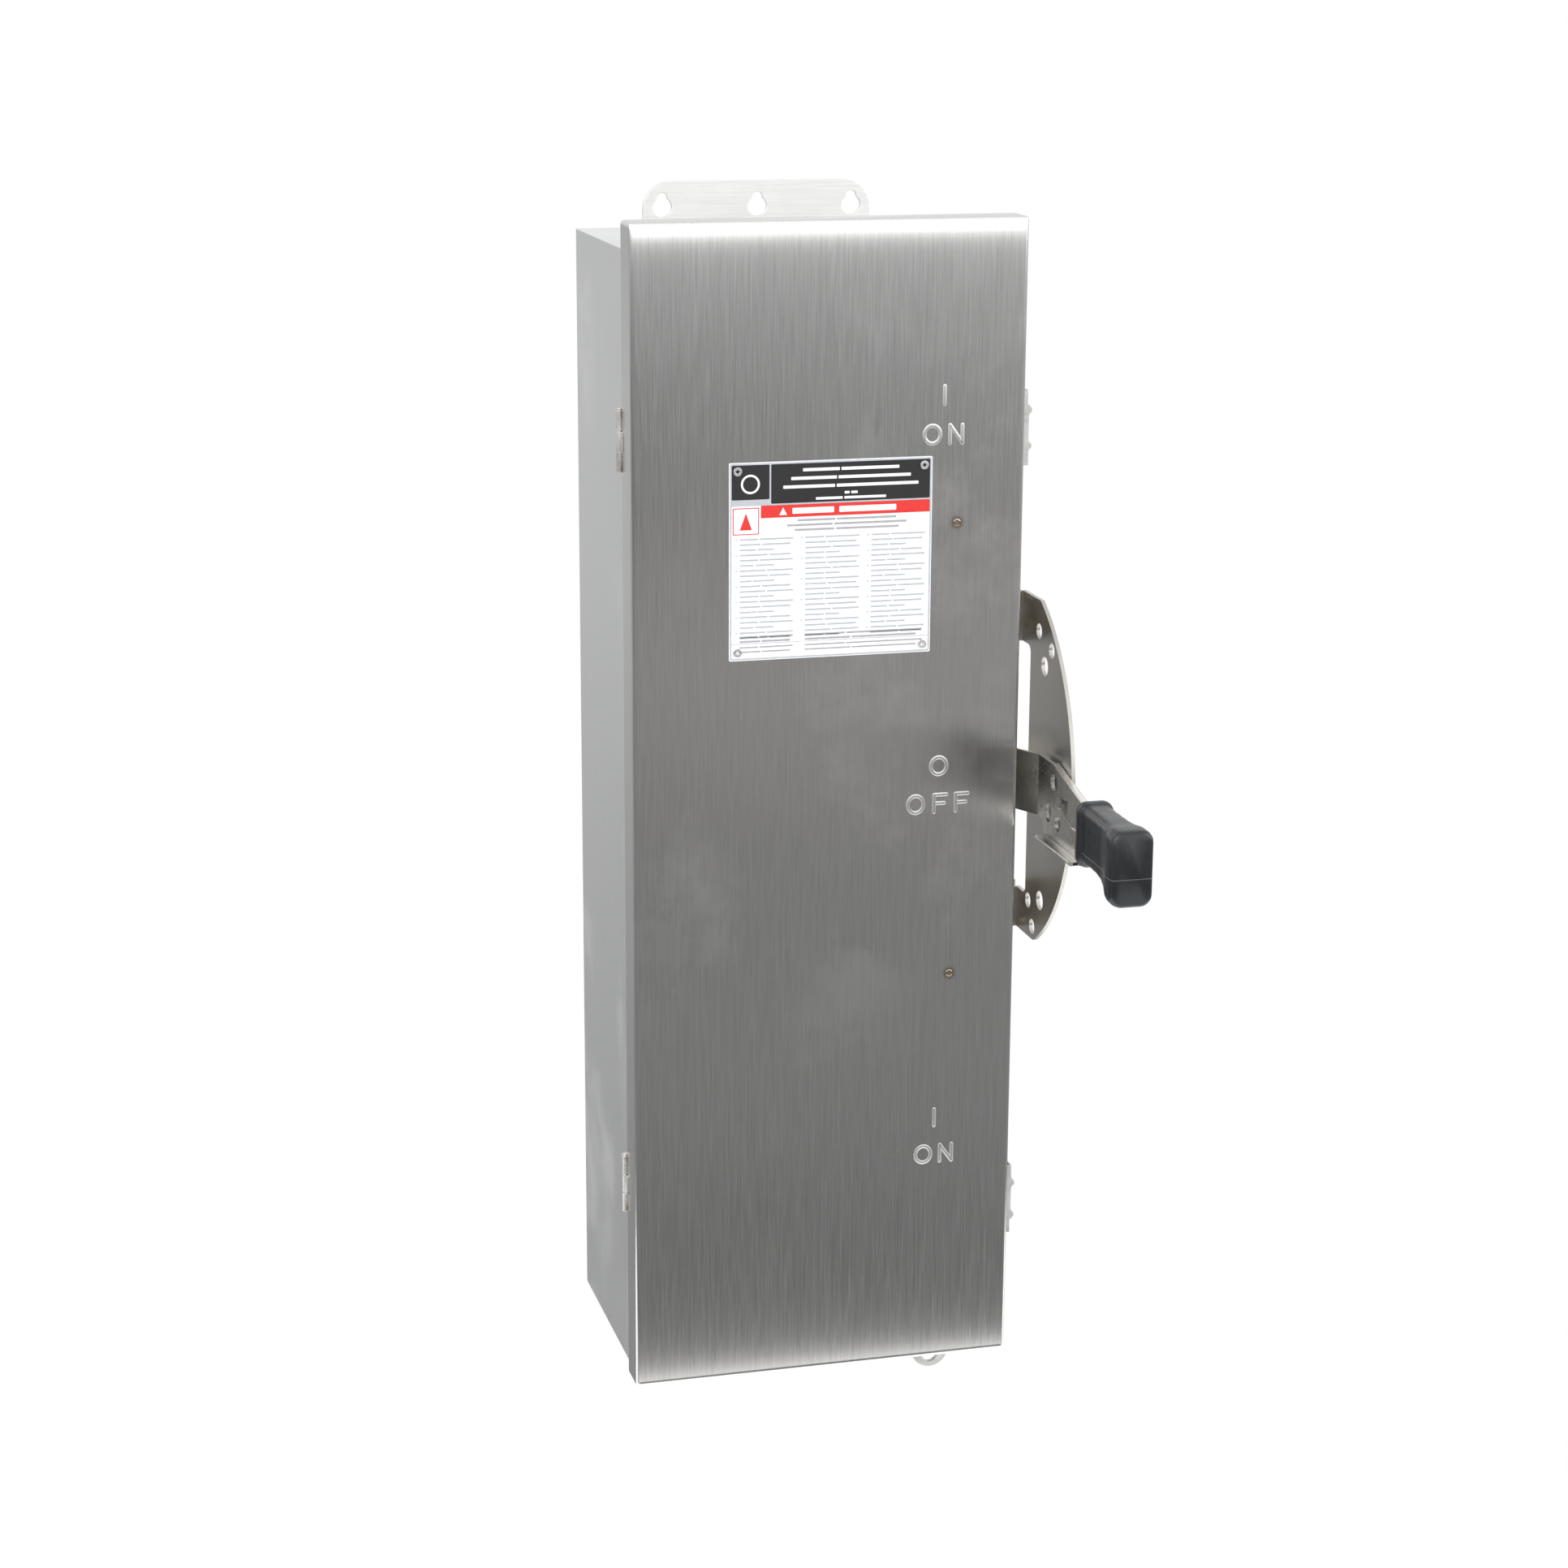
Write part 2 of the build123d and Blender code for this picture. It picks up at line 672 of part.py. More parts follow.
# ---- latches ----
def latch_brackets():
    """Wall plates with two ears each, which carry the latch pins."""
    with BuildPart() as brackets:
        for z in LATCH_Z:
            plate_z = around(z, LATCH_PLATE_HALF)
            block((WALL_X, WALL_X + LATCH_PLATE_T), LATCH_PLATE_Y, plate_z)
            for ear in (z - LATCH_EAR_DZ, z + LATCH_EAR_DZ):
                ear_z = around(ear, LATCH_EAR_HALF)
                block((WALL_X, LATCH_X), around(LATCH_Y, LATCH_EAR_R - 0.5), ear_z)
                rod_z(LATCH_EAR_R, LATCH_X, LATCH_Y, ear_z)
            rod_z(LATCH_PIN_R + RUN, LATCH_X, LATCH_Y, past(plate_z), Mode.SUBTRACT)
    save(brackets, "latch_brackets")


def latch_pins():
    with BuildPart() as pins:
        for z in LATCH_Z:
            rod_z(LATCH_PIN_R, LATCH_X, LATCH_Y, around(z, LATCH_PIN_HALF))
            for end in (z - LATCH_PIN_HALF, z + LATCH_PIN_HALF - 1):
                rod_z(LATCH_HEAD_R, LATCH_X, LATCH_Y, (end, end + 1))
    save(pins, "latch_pins")


def latch_clip(label, z):
    """Sprung clip: a curl round the pin, a flat side, two pressed beads and a hook over the door."""
    hook_x = DOOR_RIGHT + LATCH_CLEAR
    hook_y = (LATCH_FRONT, LATCH_FRONT + LATCH_T)
    curl_end_y = around(LATCH_Y, LATCH_CUT)
    curl_end_x = (LATCH_X - LATCH_CUT, LATCH_SKIN + OVERCUT)
    bead_y = (LATCH_FRONT, BEAD_START)
    with BuildPart() as clip:
        with BuildSketch(Plane.XY.offset(z - LATCH_H / 2)):
            with BuildLine():
                Polyline(
                    (LATCH_X + 2, LATCH_Y - 2),
                    (LATCH_OUT, LATCH_SIDE_Y),
                    (LATCH_OUT, hook_y[1]),
                    (hook_x, hook_y[1]),
                    (hook_x, hook_y[0]),
                    (LATCH_SKIN, hook_y[0]),
                    (LATCH_SKIN, LATCH_SIDE_Y + 0.5),
                    (LATCH_X + 3, LATCH_Y),
                    close=True,
                )
            make_face()
        extrude(amount=LATCH_H)
        fillet(clip.edges().filter_by(Axis.Z).group_by(Axis.Y)[0].sort_by(Axis.X)[-1], LATCH_HOOK_R)
        for side in SIDES:
            end_z = (z + side * LATCH_CURL_HALF, z + side * LATCH_H)
            block(curl_end_x, curl_end_y, end_z, Mode.SUBTRACT)
        rod_z(LATCH_CURL_R, LATCH_X, LATCH_Y, around(z, LATCH_CURL_HALF))
        rod_z(LATCH_PIN_R + RUN, LATCH_X, LATCH_Y, around(z, LATCH_H), Mode.SUBTRACT)
        for dz in (-BEAD_DZ, BEAD_DZ):
            bead_z = around(z + dz, BEAD_HALF)
            rod_y(BEAD_R, LATCH_SKIN - BEAD_SUNK, bead_y, z + dz)
            block((LATCH_X, LATCH_OUT), past(bead_y), bead_z, Mode.SUBTRACT)
            block((hook_x, LATCH_SKIN), hook_y, bead_z)
    save(clip, label)


# ---- handle ----
def arm_side_outline():
    """Outline of the arm seen from the side, from the hub to the tang inside the grip."""
    Polyline(
        (PIVOT_Y, ARM_TOP),
        (ARM_SHOULDER_Y, ARM_TOP),
        (ARM_NOSE_Y, ARM_NOSE_Z),
        (ARM_TANG_START, TANG_Z[1]),
        (ARM_TANG_END, TANG_Z[1]),
        (ARM_TANG_END, TANG_Z[0]),
        (ARM_TANG_START, TANG_Z[0]),
        (ARM_CHIN_Y, ARM_CHIN_Z),
        (ARM_STEP_Y[1], ARM_CHIN_Z),
        (ARM_STEP_Y[0], ARM_LOW),
        (PIVOT_Y, ARM_LOW),
        close=True,
    )


def handle_arm():
    """Plate arm, joggled outwards past the lock plate's feet, with a flange on either edge."""
    run = ARM_SHOULDER_Y - ARM_NOSE_Y
    fall = ARM_TOP - ARM_NOSE_Z
    through = past((ARM_OUT_X, ARM_OUT_X + ARM_T))
    with BuildPart() as arm:
        with BuildSketch(Plane.XY.offset(PIVOT_Z - ARM_TANG_END)):
            with BuildLine():
                Polyline(
                    (ARM_IN_X, ARM_HUB_Y),
                    (ARM_IN_X, ARM_JOGGLE_Y),
                    (ARM_OUT_X, ARM_BEND_Y),
                    (ARM_OUT_X, ARM_TANG_END),
                    (ARM_OUT_X + ARM_T, ARM_TANG_END),
                    (ARM_OUT_X + ARM_T, ARM_BEND_Y),
                    (ARM_IN_X + ARM_T, ARM_JOGGLE_Y),
                    (ARM_IN_X + ARM_T, ARM_HUB_Y),
                    close=True,
                )
            make_face()
        extrude(amount=2 * ARM_TANG_END)
        with BuildSketch(Plane.YZ):
            with BuildLine():
                arm_side_outline()
            make_face()
            with Locations((PIVOT_Y, ARM_HUB_Z)):
                Circle(ARM_HUB_R)
        extrude(amount=LOCK_X, mode=Mode.INTERSECT)
        shoulder = (ARM_OUT_X, ARM_SHOULDER_Y, ARM_TOP)
        with BuildSketch(Plane(origin=shoulder, x_dir=(0, -run, -fall), z_dir=(1, 0, 0))):
            with Locations((hypot(run, fall) / 2, FLANGE_T / 2)):
                Rectangle(hypot(run, fall), FLANGE_T)
        extrude(amount=TOP_FLANGE_W)
        low_flange_z = (ARM_CHIN_Z, ARM_CHIN_Z + FLANGE_T)
        block((ARM_OUT_X - LOW_FLANGE_W, ARM_OUT_X), (ARM_STEP_Y[1], LOW_FLANGE_END), low_flange_z)
        for radius, angle, hole_r in (HOLE_A, HOLE_B, HOLE_C):
            y, z = polar(radius, angle)
            rod_x(hole_r, through, y, z, Mode.SUBTRACT)
        for z in SMALL_HOLE_Z:
            rod_x(SMALL_HOLE_R, through, SMALL_HOLE_Y, z, Mode.SUBTRACT)
        with BuildSketch(Plane.YZ.offset(through[0])):
            with BuildLine():
                Polyline(*WINDOW, close=True)
            make_face()
        extrude(amount=through[1] - through[0], mode=Mode.SUBTRACT)
        block((ARM_OUT_X - RIB_T, ARM_OUT_X), RIB_Y, RIB_Z)
        hub_x = past((ARM_IN_X, ARM_IN_X + ARM_T))
        rod_x(STUD_R + RUN, hub_x, PIVOT_Y, PIVOT_Z, Mode.SUBTRACT)
    save(arm, "handle_arm")


def handle_grip():
    """Moulded grip: a collar, a slimmer body, and an end that flares out and down."""
    tang_x = (ARM_OUT_X, ARM_OUT_X + ARM_T)
    pocket_y = (ARM_NOSE_Y, GRIP_POCKET_END)
    with BuildPart() as grip:
        for near, far in zip(GRIP_STATIONS, GRIP_STATIONS[1:]):
            for out, width, top, bottom, corner in (near, far):
                with BuildSketch(Plane.XZ.offset(out)):
                    with Locations((GRIP_X, (top + bottom) / 2)):
                        RectangleRounded(width, top - bottom, corner)
            loft()
        fillet(grip.faces().sort_by(Axis.Y)[0].edges(), GRIP_END_R)
        block(tang_x, (ARM_NOSE_Y, ARM_TANG_END), TANG_Z, Mode.SUBTRACT)
        block((tang_x[0] - 1, tang_x[1]), pocket_y, GRIP_POCKET_Z, Mode.SUBTRACT)
    save(grip, "handle_grip")


def operating_shaft():
    with BuildPart() as shaft:
        rod_x(SHAFT_R, (CRANK_X[1], ARM_IN_X), PIVOT_Y, PIVOT_Z)
        rod_x(STUD_R, (ARM_IN_X, ARM_IN_X + STUD_LONG), PIVOT_Y, PIVOT_Z)
        chamfer(shaft.edges().sort_by(Axis.X)[-1], 1)
    save(shaft, "operating_shaft")


def handle_nut():
    nut_x = (ARM_IN_X + ARM_T, ARM_IN_X + ARM_T + NUT_T)
    with BuildPart() as nut:
        hex_x(NUT_FLATS, nut_x, PIVOT_Y, PIVOT_Z)
        rod_x(STUD_R, past(nut_x), PIVOT_Y, PIVOT_Z, Mode.SUBTRACT)
    save(nut, "handle_nut")


def drive_crank():
    with BuildPart() as crank:
        with BuildSketch(Plane.YZ.offset(CRANK_X[0])):
            with Locations((PIVOT_Y, PIVOT_Z)):
                Circle(CRANK_HUB_R)
            with Locations((PIVOT_Y - CRANK_R, PIVOT_Z)):
                Circle(LOBE_R)
            with Locations((PIVOT_Y - CRANK_R / 2, PIVOT_Z)):
                Rectangle(CRANK_R, 2 * LOBE_R)
        extrude(amount=CRANK_X[1] - CRANK_X[0])
        rod_x(PIN_R, (LINK_X[-1][0] - 1, CRANK_X[0]), PIVOT_Y - CRANK_R, PIVOT_Z)
    save(crank, "drive_crank")


def interlock_cam():
    """Two hooked fingers on the shaft; in either ON position one stands in front of the catch."""
    arcs = [CenterArc((0, 0), FINGER_R, s * FINGER_START, s * FINGER_SPAN) for s in SIDES]
    stem_mid = (FINGER_R - FINGER_W / 2) / 2
    hub_x = (CAM_X[0] - CAM_HUB_OUT[0], CAM_X[1] + CAM_HUB_OUT[1])
    with BuildPart() as cam:
        with BuildSketch(lever_plane(CAM_X[0], PIVOT_Y, PIVOT_Z, 0)):
            Circle(CAM_HUB_R)
            for arc in arcs:
                SlotArc(arc, FINGER_W)
            with PolarLocations(stem_mid, 2, -STEM_ANGLE, 4 * STEM_ANGLE):
                Rectangle(2 * stem_mid, STEM_W)
        extrude(amount=CAM_X[1] - CAM_X[0])
        rod_x(CAM_HUB_R, hub_x, PIVOT_Y, PIVOT_Z)
        rod_x(SHAFT_R, past(hub_x), PIVOT_Y, PIVOT_Z, Mode.SUBTRACT)
    save(cam, "interlock_cam")


def detent_cam():
    """Disc with a notch for each of the three handle positions."""
    with BuildPart() as cam:
        rod_x(DETENT_R, DETENT_X, PIVOT_Y, PIVOT_Z)
        for angle in (180, 180 - THROW_UP, 180 + THROW_DOWN):
            y, z = polar(DETENT_R + DETENT_NOTCH_OUT, angle)
            rod_x(DETENT_NOTCH_R, DETENT_X, y, z, Mode.SUBTRACT)
        rod_x(SHAFT_R, past(DETENT_X), PIVOT_Y, PIVOT_Z, Mode.SUBTRACT)
    save(cam, "detent_cam")


def detent_spring():
    """Leaf spring on the mechanism bracket whose nose rests in the disc's notch."""
    y = PIVOT_Y + DETENT_R + SPRING_OUT
    leaf_y = PIVOT_Y + DETENT_R + SHELF_OUT - SPRING_T
    with BuildPart() as spring:
        block((DETENT_X[0] - 5, DETENT_X[1]), (leaf_y, leaf_y + SPRING_T), around(PIVOT_Z, SPRING_HALF))
        rod_x(SPRING_NOSE_R, DETENT_X, y, PIVOT_Z)
        block(DETENT_X, (y, leaf_y), around(PIVOT_Z, SPRING_NOSE_R))
    save(spring, "detent_spring")


# ---- lock plate ----
def lock_screw_heights():
    """Heights of the four screws, two for each foot of the lock plate."""
    return [PIVOT_Z + side * dz for side in SIDES for dz in LOCK_SCREW_DZ]


def lock_screw_holes():
    for z in lock_screw_heights():
        rod_y(LOCK_SCREW_R + 2 * RUN, LOCK_SCREW_X, around(LOCK_FOOT_Y, 2 * LOCK_T), z, Mode.SUBTRACT)


def lock_plate():
    """Sector plate about the handle pivot, with padlock holes for each position and two bent feet."""
    top = PIVOT_Z + LOCK_HALF
    low = PIVOT_Z - LOCK_HALF
    window = (PIVOT_Z + LOCK_WINDOW[0], PIVOT_Z + LOCK_WINDOW[1])
    window_back = LOCK_FOOT_Y + LOCK_FOOT_W
    cut = 2 * LOCK_R
    with BuildPart() as plate:
        with BuildSketch(Plane.YZ.offset(LOCK_X)):
            with Locations((PIVOT_Y, PIVOT_Z)):
                Circle(LOCK_R)
            with Locations((LOCK_FOOT_Y + cut / 2, PIVOT_Z)):
                Rectangle(cut, cut, mode=Mode.SUBTRACT)
            with Locations((PIVOT_Y, top + cut / 2), (PIVOT_Y, low - cut / 2)):
                Rectangle(cut, cut, mode=Mode.SUBTRACT)
            with Locations(((LOCK_WINDOW_Y + window_back) / 2, sum(window) / 2)):
                hole = (window_back - LOCK_WINDOW_Y, window[1] - window[0])
                RectangleRounded(*hole, LOCK_WINDOW_R, mode=Mode.SUBTRACT)
        extrude(amount=LOCK_T)
        foot_x = (LOCK_X - LOCK_FOOT_W, LOCK_X + LOCK_T)
        for zs in ((window[1], top), (low, window[0])):
            block(foot_x, (LOCK_FOOT_Y - LOCK_T, LOCK_FOOT_Y), zs)
        for side, angle in ((1, THROW_UP), (0, 0), (-1, -THROW_DOWN)):
            for (radius, at, _), hole_r in zip((HOLE_A, HOLE_B, HOLE_C), LOCK_HOLES[side]):
                y, z = polar(radius, at + angle)
                rod_x(hole_r, past((LOCK_X, LOCK_X + LOCK_T)), y, z, Mode.SUBTRACT)
        lock_screw_holes()
        corners = plate.edges().filter_by(Axis.X).group_by(Axis.Z)
        for edge in (corners[-1].sort_by(Axis.Y)[0], corners[0].sort_by(Axis.Y)[0]):
            fillet(edge, LOCK_CORNER_R)
    save(plate, "lock_plate")


def lock_plate_brackets():
    """Angles welded to the box wall; the lock plate's feet are screwed to them."""
    with BuildPart() as brackets:
        for side in SIDES:
            zs = zspan(side, LOCK_BRACKET_LOW, LOCK_HALF)
            block((WALL_X, LOCK_X - 0.5), (LOCK_FOOT_Y, LOCK_FOOT_Y + LOCK_T), zs)
            block((WALL_X, WALL_X + LOCK_T), (LOCK_FOOT_Y, LOCK_FOOT_Y + LOCK_BRACKET_DEEP), zs)
        lock_screw_holes()
    save(brackets, "lock_plate_brackets")


def lock_plate_screws():
    """Domed screws through the feet, each with its nut."""
    front = LOCK_FOOT_Y - LOCK_T
    nut_y = (LOCK_FOOT_Y + LOCK_T, LOCK_FOOT_Y + LOCK_T + LOCK_NUT)
    with BuildPart() as screws:
        for z in lock_screw_heights():
            rod_y(LOCK_SCREW_R, LOCK_SCREW_X, (front, nut_y[1] + 1), z)
            rim = (front, z + LOCK_SCREW_HEAD_R)
            dome = (front - LOCK_SCREW_DOME[0], z + LOCK_SCREW_DOME[1])
            crown = (front - LOCK_SCREW_HEAD, z)
            with BuildSketch(Plane.YZ.offset(LOCK_SCREW_X)):
                with BuildLine():
                    Line((front, z), rim)
                    ThreePointArc(rim, dome, crown)
                    Line(crown, (front, z))
                make_face()
            revolve(axis=Axis((LOCK_SCREW_X, front, z), (0, 1, 0)))
            hex_y(LOCK_NUT_FLATS, LOCK_SCREW_X, nut_y, z)
    save(screws, "lock_plate_screws")


# ---- shaft bearings ----
def shaft_bushing():
    with BuildPart() as bushing:
        rod_x(BUSHING_FLANGE_R, (WALL_X, WALL_X + BUSHING_FLANGE), PIVOT_Y, PIVOT_Z)
        fillet(bushing.edges().sort_by(Axis.X)[-1], 1.5)
        rod_x(BUSHING_R, (INNER_X - BUSHING_IN, WALL_X), PIVOT_Y, PIVOT_Z)
        bore = past((INNER_X - BUSHING_IN, WALL_X + BUSHING_FLANGE))
        rod_x(SHAFT_R + RUN, bore, PIVOT_Y, PIVOT_Z, Mode.SUBTRACT)
    save(bushing, "shaft_bushing")


def bushing_nut():
    nut_x = (INNER_X - NUT_T, INNER_X)
    with BuildPart() as nut:
        hex_x(BUSHING_NUT_FLATS, nut_x, PIVOT_Y, PIVOT_Z)
        rod_x(BUSHING_R, past(nut_x), PIVOT_Y, PIVOT_Z, Mode.SUBTRACT)
    save(nut, "bushing_nut")


def mechanism_bracket():
    """Plate that carries the inner end of the shaft, with a shelf at each end of the spring."""
    half_z = around(PIVOT_Z, BRACKET_HALF)
    shelf_y = PIVOT_Y + DETENT_R + SHELF_OUT
    with BuildPart() as bracket:
        block(BRACKET_X, (PANEL_Y, PIVOT_Y - 20), half_z)
        fillet(bracket.edges().filter_by(Axis.X).group_by(Axis.Y)[0], BRACKET_R)
        block((BRACKET_X[0], BRACKET_FOOT_X), (PANEL_Y - 3, PANEL_Y), half_z)
        for side in SIDES:
            block((BRACKET_X[0], DETENT_X[1]), (shelf_y, shelf_y + 3), zspan(side, *SHELF_DZ))
            screw_z = PIVOT_Z + side * BRACKET_SCREW_DZ
            rod_y(SCREW_SHANK_R, BRACKET_SCREW_X, past((PANEL_Y - 3, PANEL_Y)), screw_z, Mode.SUBTRACT)
        rod_x(SHAFT_R + RUN, past(BRACKET_X), PIVOT_Y, PIVOT_Z, Mode.SUBTRACT)
    save(bracket, "mechanism_bracket")


# ---- fixed switch parts ----
def load_screw_places():
    xs = (BASE_X[0] + LOAD_SCREW_IN, BASE_X[1] - LOAD_SCREW_IN)
    return [(x, PIVOT_Z + side * LOAD_SCREW_DZ) for x in xs for side in SIDES]


def switch_base(label, side):
    with BuildPart() as base:
        block(BASE_X, (PANEL_Y, BASE_Y), zspan(side, *BASE_SPAN))
        fillet(base.edges().filter_by(Axis.Y), BASE_R)
        for x in GAPS:
            block(around(x, BASE_RIB_T / 2), (BASE_Y, BASE_Y - BASE_RIB_T), zspan(side, *BASE_RIB))
        for x, dz in BASE_SCREWS:
            rod_y(SCREW_R, x, past((PANEL_Y, BASE_Y)), PIVOT_Z + side * dz, Mode.SUBTRACT)
    save(base, label)


def load_base():
    with BuildPart() as base:
        block(BASE_X, (PANEL_Y, BASE_Y), around(PIVOT_Z, LOAD_HALF))
        fillet(base.edges().filter_by(Axis.Y), BASE_R)
        for x in GAPS:
            fin_x = around(x, LOAD_FIN[0] / 2)
            block(fin_x, (BASE_Y, BASE_Y - LOAD_FIN[1]), around(PIVOT_Z, LOAD_FIN_HALF))
        for x, z in load_screw_places():
            rod_y(SCREW_R, x, past((PANEL_Y, BASE_Y)), z, Mode.SUBTRACT)
    save(base, "load_base")


def screw_head(x, z, front):
    """Round slotted screw head with its shank, driven straight into a base."""
    slot_w, slot_deep = SCREW_SLOT
    rod_y(SCREW_HEAD_R, x, (front, front - SCREW_HEAD), z)
    rod_y(SCREW_SHANK_R, x, (front, PANEL_Y), z)
    slot_y = (front - SCREW_HEAD + slot_deep, front - SCREW_HEAD - slot_deep)
    block(around(x, SCREW_HEAD_R + 1), slot_y, around(z, slot_w / 2), Mode.SUBTRACT)


def base_screws():
    with BuildPart() as screws:
        for side in SIDES:
            for x, dz in BASE_SCREWS:
                screw_head(x, PIVOT_Z + side * dz, BASE_Y)
        for x, z in load_screw_places():
            screw_head(x, z, BASE_Y)
    save(screws, "base_screws")


def strap(x, zs):
    """Flat copper strap lying on a base."""
    block(around(x, STRAP_HALF), (BASE_Y, BASE_Y - STRAP_T), zs)


def blade_jaws():
    """Line contact of each pole: a strap on the base and two leaves that grip the closed blade."""
    with BuildPart() as jaws:
        for side in SIDES:
            for x in POLES:
                strap(x, zspan(side, *JAW_STRAP_DZ))
                for s in SIDES:
                    xs = (x + s * JAW_GAP, x + s * (JAW_GAP + LEAF_T))
                    block(xs, (BASE_Y, BASE_Y - JAW_OUT), zspan(side, *JAW_DZ))
                block(around(x, JAW_GAP), (BASE_Y, BASE_Y - JAW_ROOT), zspan(side, *JAW_DZ))
    save(jaws, "blade_jaws")


def blade_posts():
    """Hinge contact of each pole: two ears and a pivot pin on a strap that runs to the fuse clip."""
    reach = JAW_GAP + LEAF_T + 2
    with BuildPart() as posts:
        for side in SIDES:
            z = axis_z(side)
            for x in POLES:
                strap(x, zspan(side, *POST_STRAP_DZ))
                for s in SIDES:
                    xs = (x + s * JAW_GAP, x + s * (JAW_GAP + LEAF_T))
                    block(xs, (BASE_Y, AXIS_Y), around(z, POST_R))
                    rod_x(POST_R, xs, AXIS_Y, z)
                rod_x(PIN_R, around(x, reach), AXIS_Y, z)
    save(posts, "blade_posts")


def load_busbars():
    with BuildPart() as bars:
        for x in POLES:
            strap(x, around(PIVOT_Z, BUSBAR_HALF))
    save(bars, "load_busbars")


def fuse_clips():
    """Spring clips that hold the fuses' end caps, open to the front."""
    foot_y = BASE_Y - STRAP_T
    with BuildPart() as clips:
        for side in SIDES:
            for x in POLES:
                for dz in CLIP_DZ:
                    with BuildSketch(Plane.XY.offset(PIVOT_Z + side * dz - CLIP_H / 2)):
                        with Locations((x, FUSE_Y)):
                            Circle(FUSE_R + CLIP_T)
                        with Locations((x, (FUSE_Y + foot_y) / 2)):
                            Rectangle(2 * STRAP_HALF, foot_y - FUSE_Y)
                        with Locations((x, FUSE_Y)):
                            Circle(FUSE_R, mode=Mode.SUBTRACT)
                        with Locations((x, FUSE_Y - CLIP_MOUTH[1])):
                            Rectangle(*CLIP_MOUTH, mode=Mode.SUBTRACT)
                    extrude(amount=CLIP_H)
    save(clips, "fuse_clips")


def fuses(label, side):
    """Three cartridge fuses: a fibre tube with a metal cap at each end."""
    z = PIVOT_Z + side * FUSE_DZ
    with BuildPart() as body:
        for x in POLES:
            rod_z(FUSE_R - FUSE_TUBE_IN, x, FUSE_Y, around(z, FUSE_L / 2 - 1))
            for end in SIDES:
                cap = (z + end * (FUSE_L / 2 - FUSE_CAP), z + end * FUSE_L / 2)
                rod_z(FUSE_R, x, FUSE_Y, cap)
        chamfer(body.edges().filter_by(GeomType.CIRCLE).group_by(Axis.Z)[-1], FUSE_EDGE)
        chamfer(body.edges().filter_by(GeomType.CIRCLE).group_by(Axis.Z)[0], FUSE_EDGE)
    save(body, label)


def box_lug(x, z):
    """Box lug on a strap, with its wire bore along the height and a screw hole at the front."""
    block(around(x, LUG_W / 2), (LUG_BACK, LUG_FRONT), around(z, LUG_HALF))
    rod_z(WIRE_R, x, LUG_BACK - WIRE_OUT, past(around(z, LUG_HALF)), Mode.SUBTRACT)
    rod_y(LUG_SCREW_R, x, (LUG_BACK - LUG_SCREW_DEEP, LUG_FRONT - 1), z, Mode.SUBTRACT)


def line_lugs():
    with BuildPart() as lugs:
        for side in SIDES:
            for x in POLES:
                box_lug(x, PIVOT_Z + side * LUG_MID)
    save(lugs, "line_lugs")


def load_lugs():
    with BuildPart() as lugs:
        for x in POLES:
            box_lug(x, PIVOT_Z)
    save(lugs, "load_lugs")


def lug_screws():
    """Slotted wire-binding screw of every lug."""
    slot_w, slot_deep = LUG_SCREW_SLOT
    shank_y = (LUG_BACK - LUG_SCREW_DEEP - 2.5, LUG_FRONT - 1.5)
    with BuildPart() as screws:
        for x in POLES:
            for dz in (-LUG_MID, 0, LUG_MID):
                z = PIVOT_Z + dz
                rod_y(LUG_SCREW_R - 2 * RUN, x, shank_y, z)
                slot_y = (LUG_FRONT, LUG_FRONT - slot_deep)
                block(around(x, slot_w / 2), slot_y, around(z, LUG_SCREW_R), Mode.SUBTRACT)
    save(screws, "lug_screws")


def phase_barriers():
    back = BASE_Y - BASE_RIB_T - BARRIER_GAP
    with BuildPart() as barriers:
        for side in SIDES:
            for x in GAPS:
                block(around(x, BARRIER_T / 2), (back, BARRIER_FRONT), zspan(side, *BARRIER_DZ))
    save(barriers, "phase_barriers")


def arc_suppressors():
    """Slotted chute over each jaw; the blade closes through its slot."""
    back = BASE_Y - STRAP_T
    start = CHUTE_DZ[0] - OVERCUT
    with BuildPart() as chutes:
        for side in SIDES:
            slot_z = zspan(side, start, CHUTE_SLOT_TOP)
            groove_z = zspan(side, start, CHUTE_SLOT_TOP - 1)
            for x in POLES:
                block(around(x, CHUTE_HALF), (back, CHUTE_FRONT), zspan(side, *CHUTE_DZ))
                slot_x = around(x, CHUTE_SLOT_HALF)
                block(slot_x, (BASE_Y, CHUTE_FRONT - OVERCUT), slot_z, Mode.SUBTRACT)
                for y in CHUTE_GROOVES:
                    groove_x = around(x, CHUTE_GROOVE_HALF)
                    block(groove_x, (y, y - CHUTE_GROOVE), groove_z, Mode.SUBTRACT)
    save(chutes, "arc_suppressors")


def rotor_bearings():
    """Side plates on the bases whose studs carry the two blade rotors."""
    sides = ((BEARING_X[0], ARM_PLATES[0][0], -1), (BEARING_X[1], ARM_PLATES[1][1], 1))
    with BuildPart() as bearings:
        for side in SIDES:
            z = axis_z(side)
            for plate, outer_face, outward in sides:
                inner_face = min(plate, key=lambda x: x * outward)
                stud_x = (sum(plate) / 2, outer_face + outward * BEARING_STUD_OUT)
                toe_x = (inner_face, inner_face - outward * BEARING_TOE)
                block(plate, (BASE_Y, AXIS_Y), around(z, BEARING_R))
                rod_x(BEARING_R, plate, AXIS_Y, z)
                rod_x(PIN_R, stud_x, AXIS_Y, z)
                block(toe_x, (BASE_Y, BASE_Y - BEARING_TOE_T), around(z, BEARING_R))
    save(bearings, "rotor_bearings")


def ground_screw_places():
    return [GROUND_FIRST_X + GROUND_PITCH * i for i in range(GROUND_COUNT)]


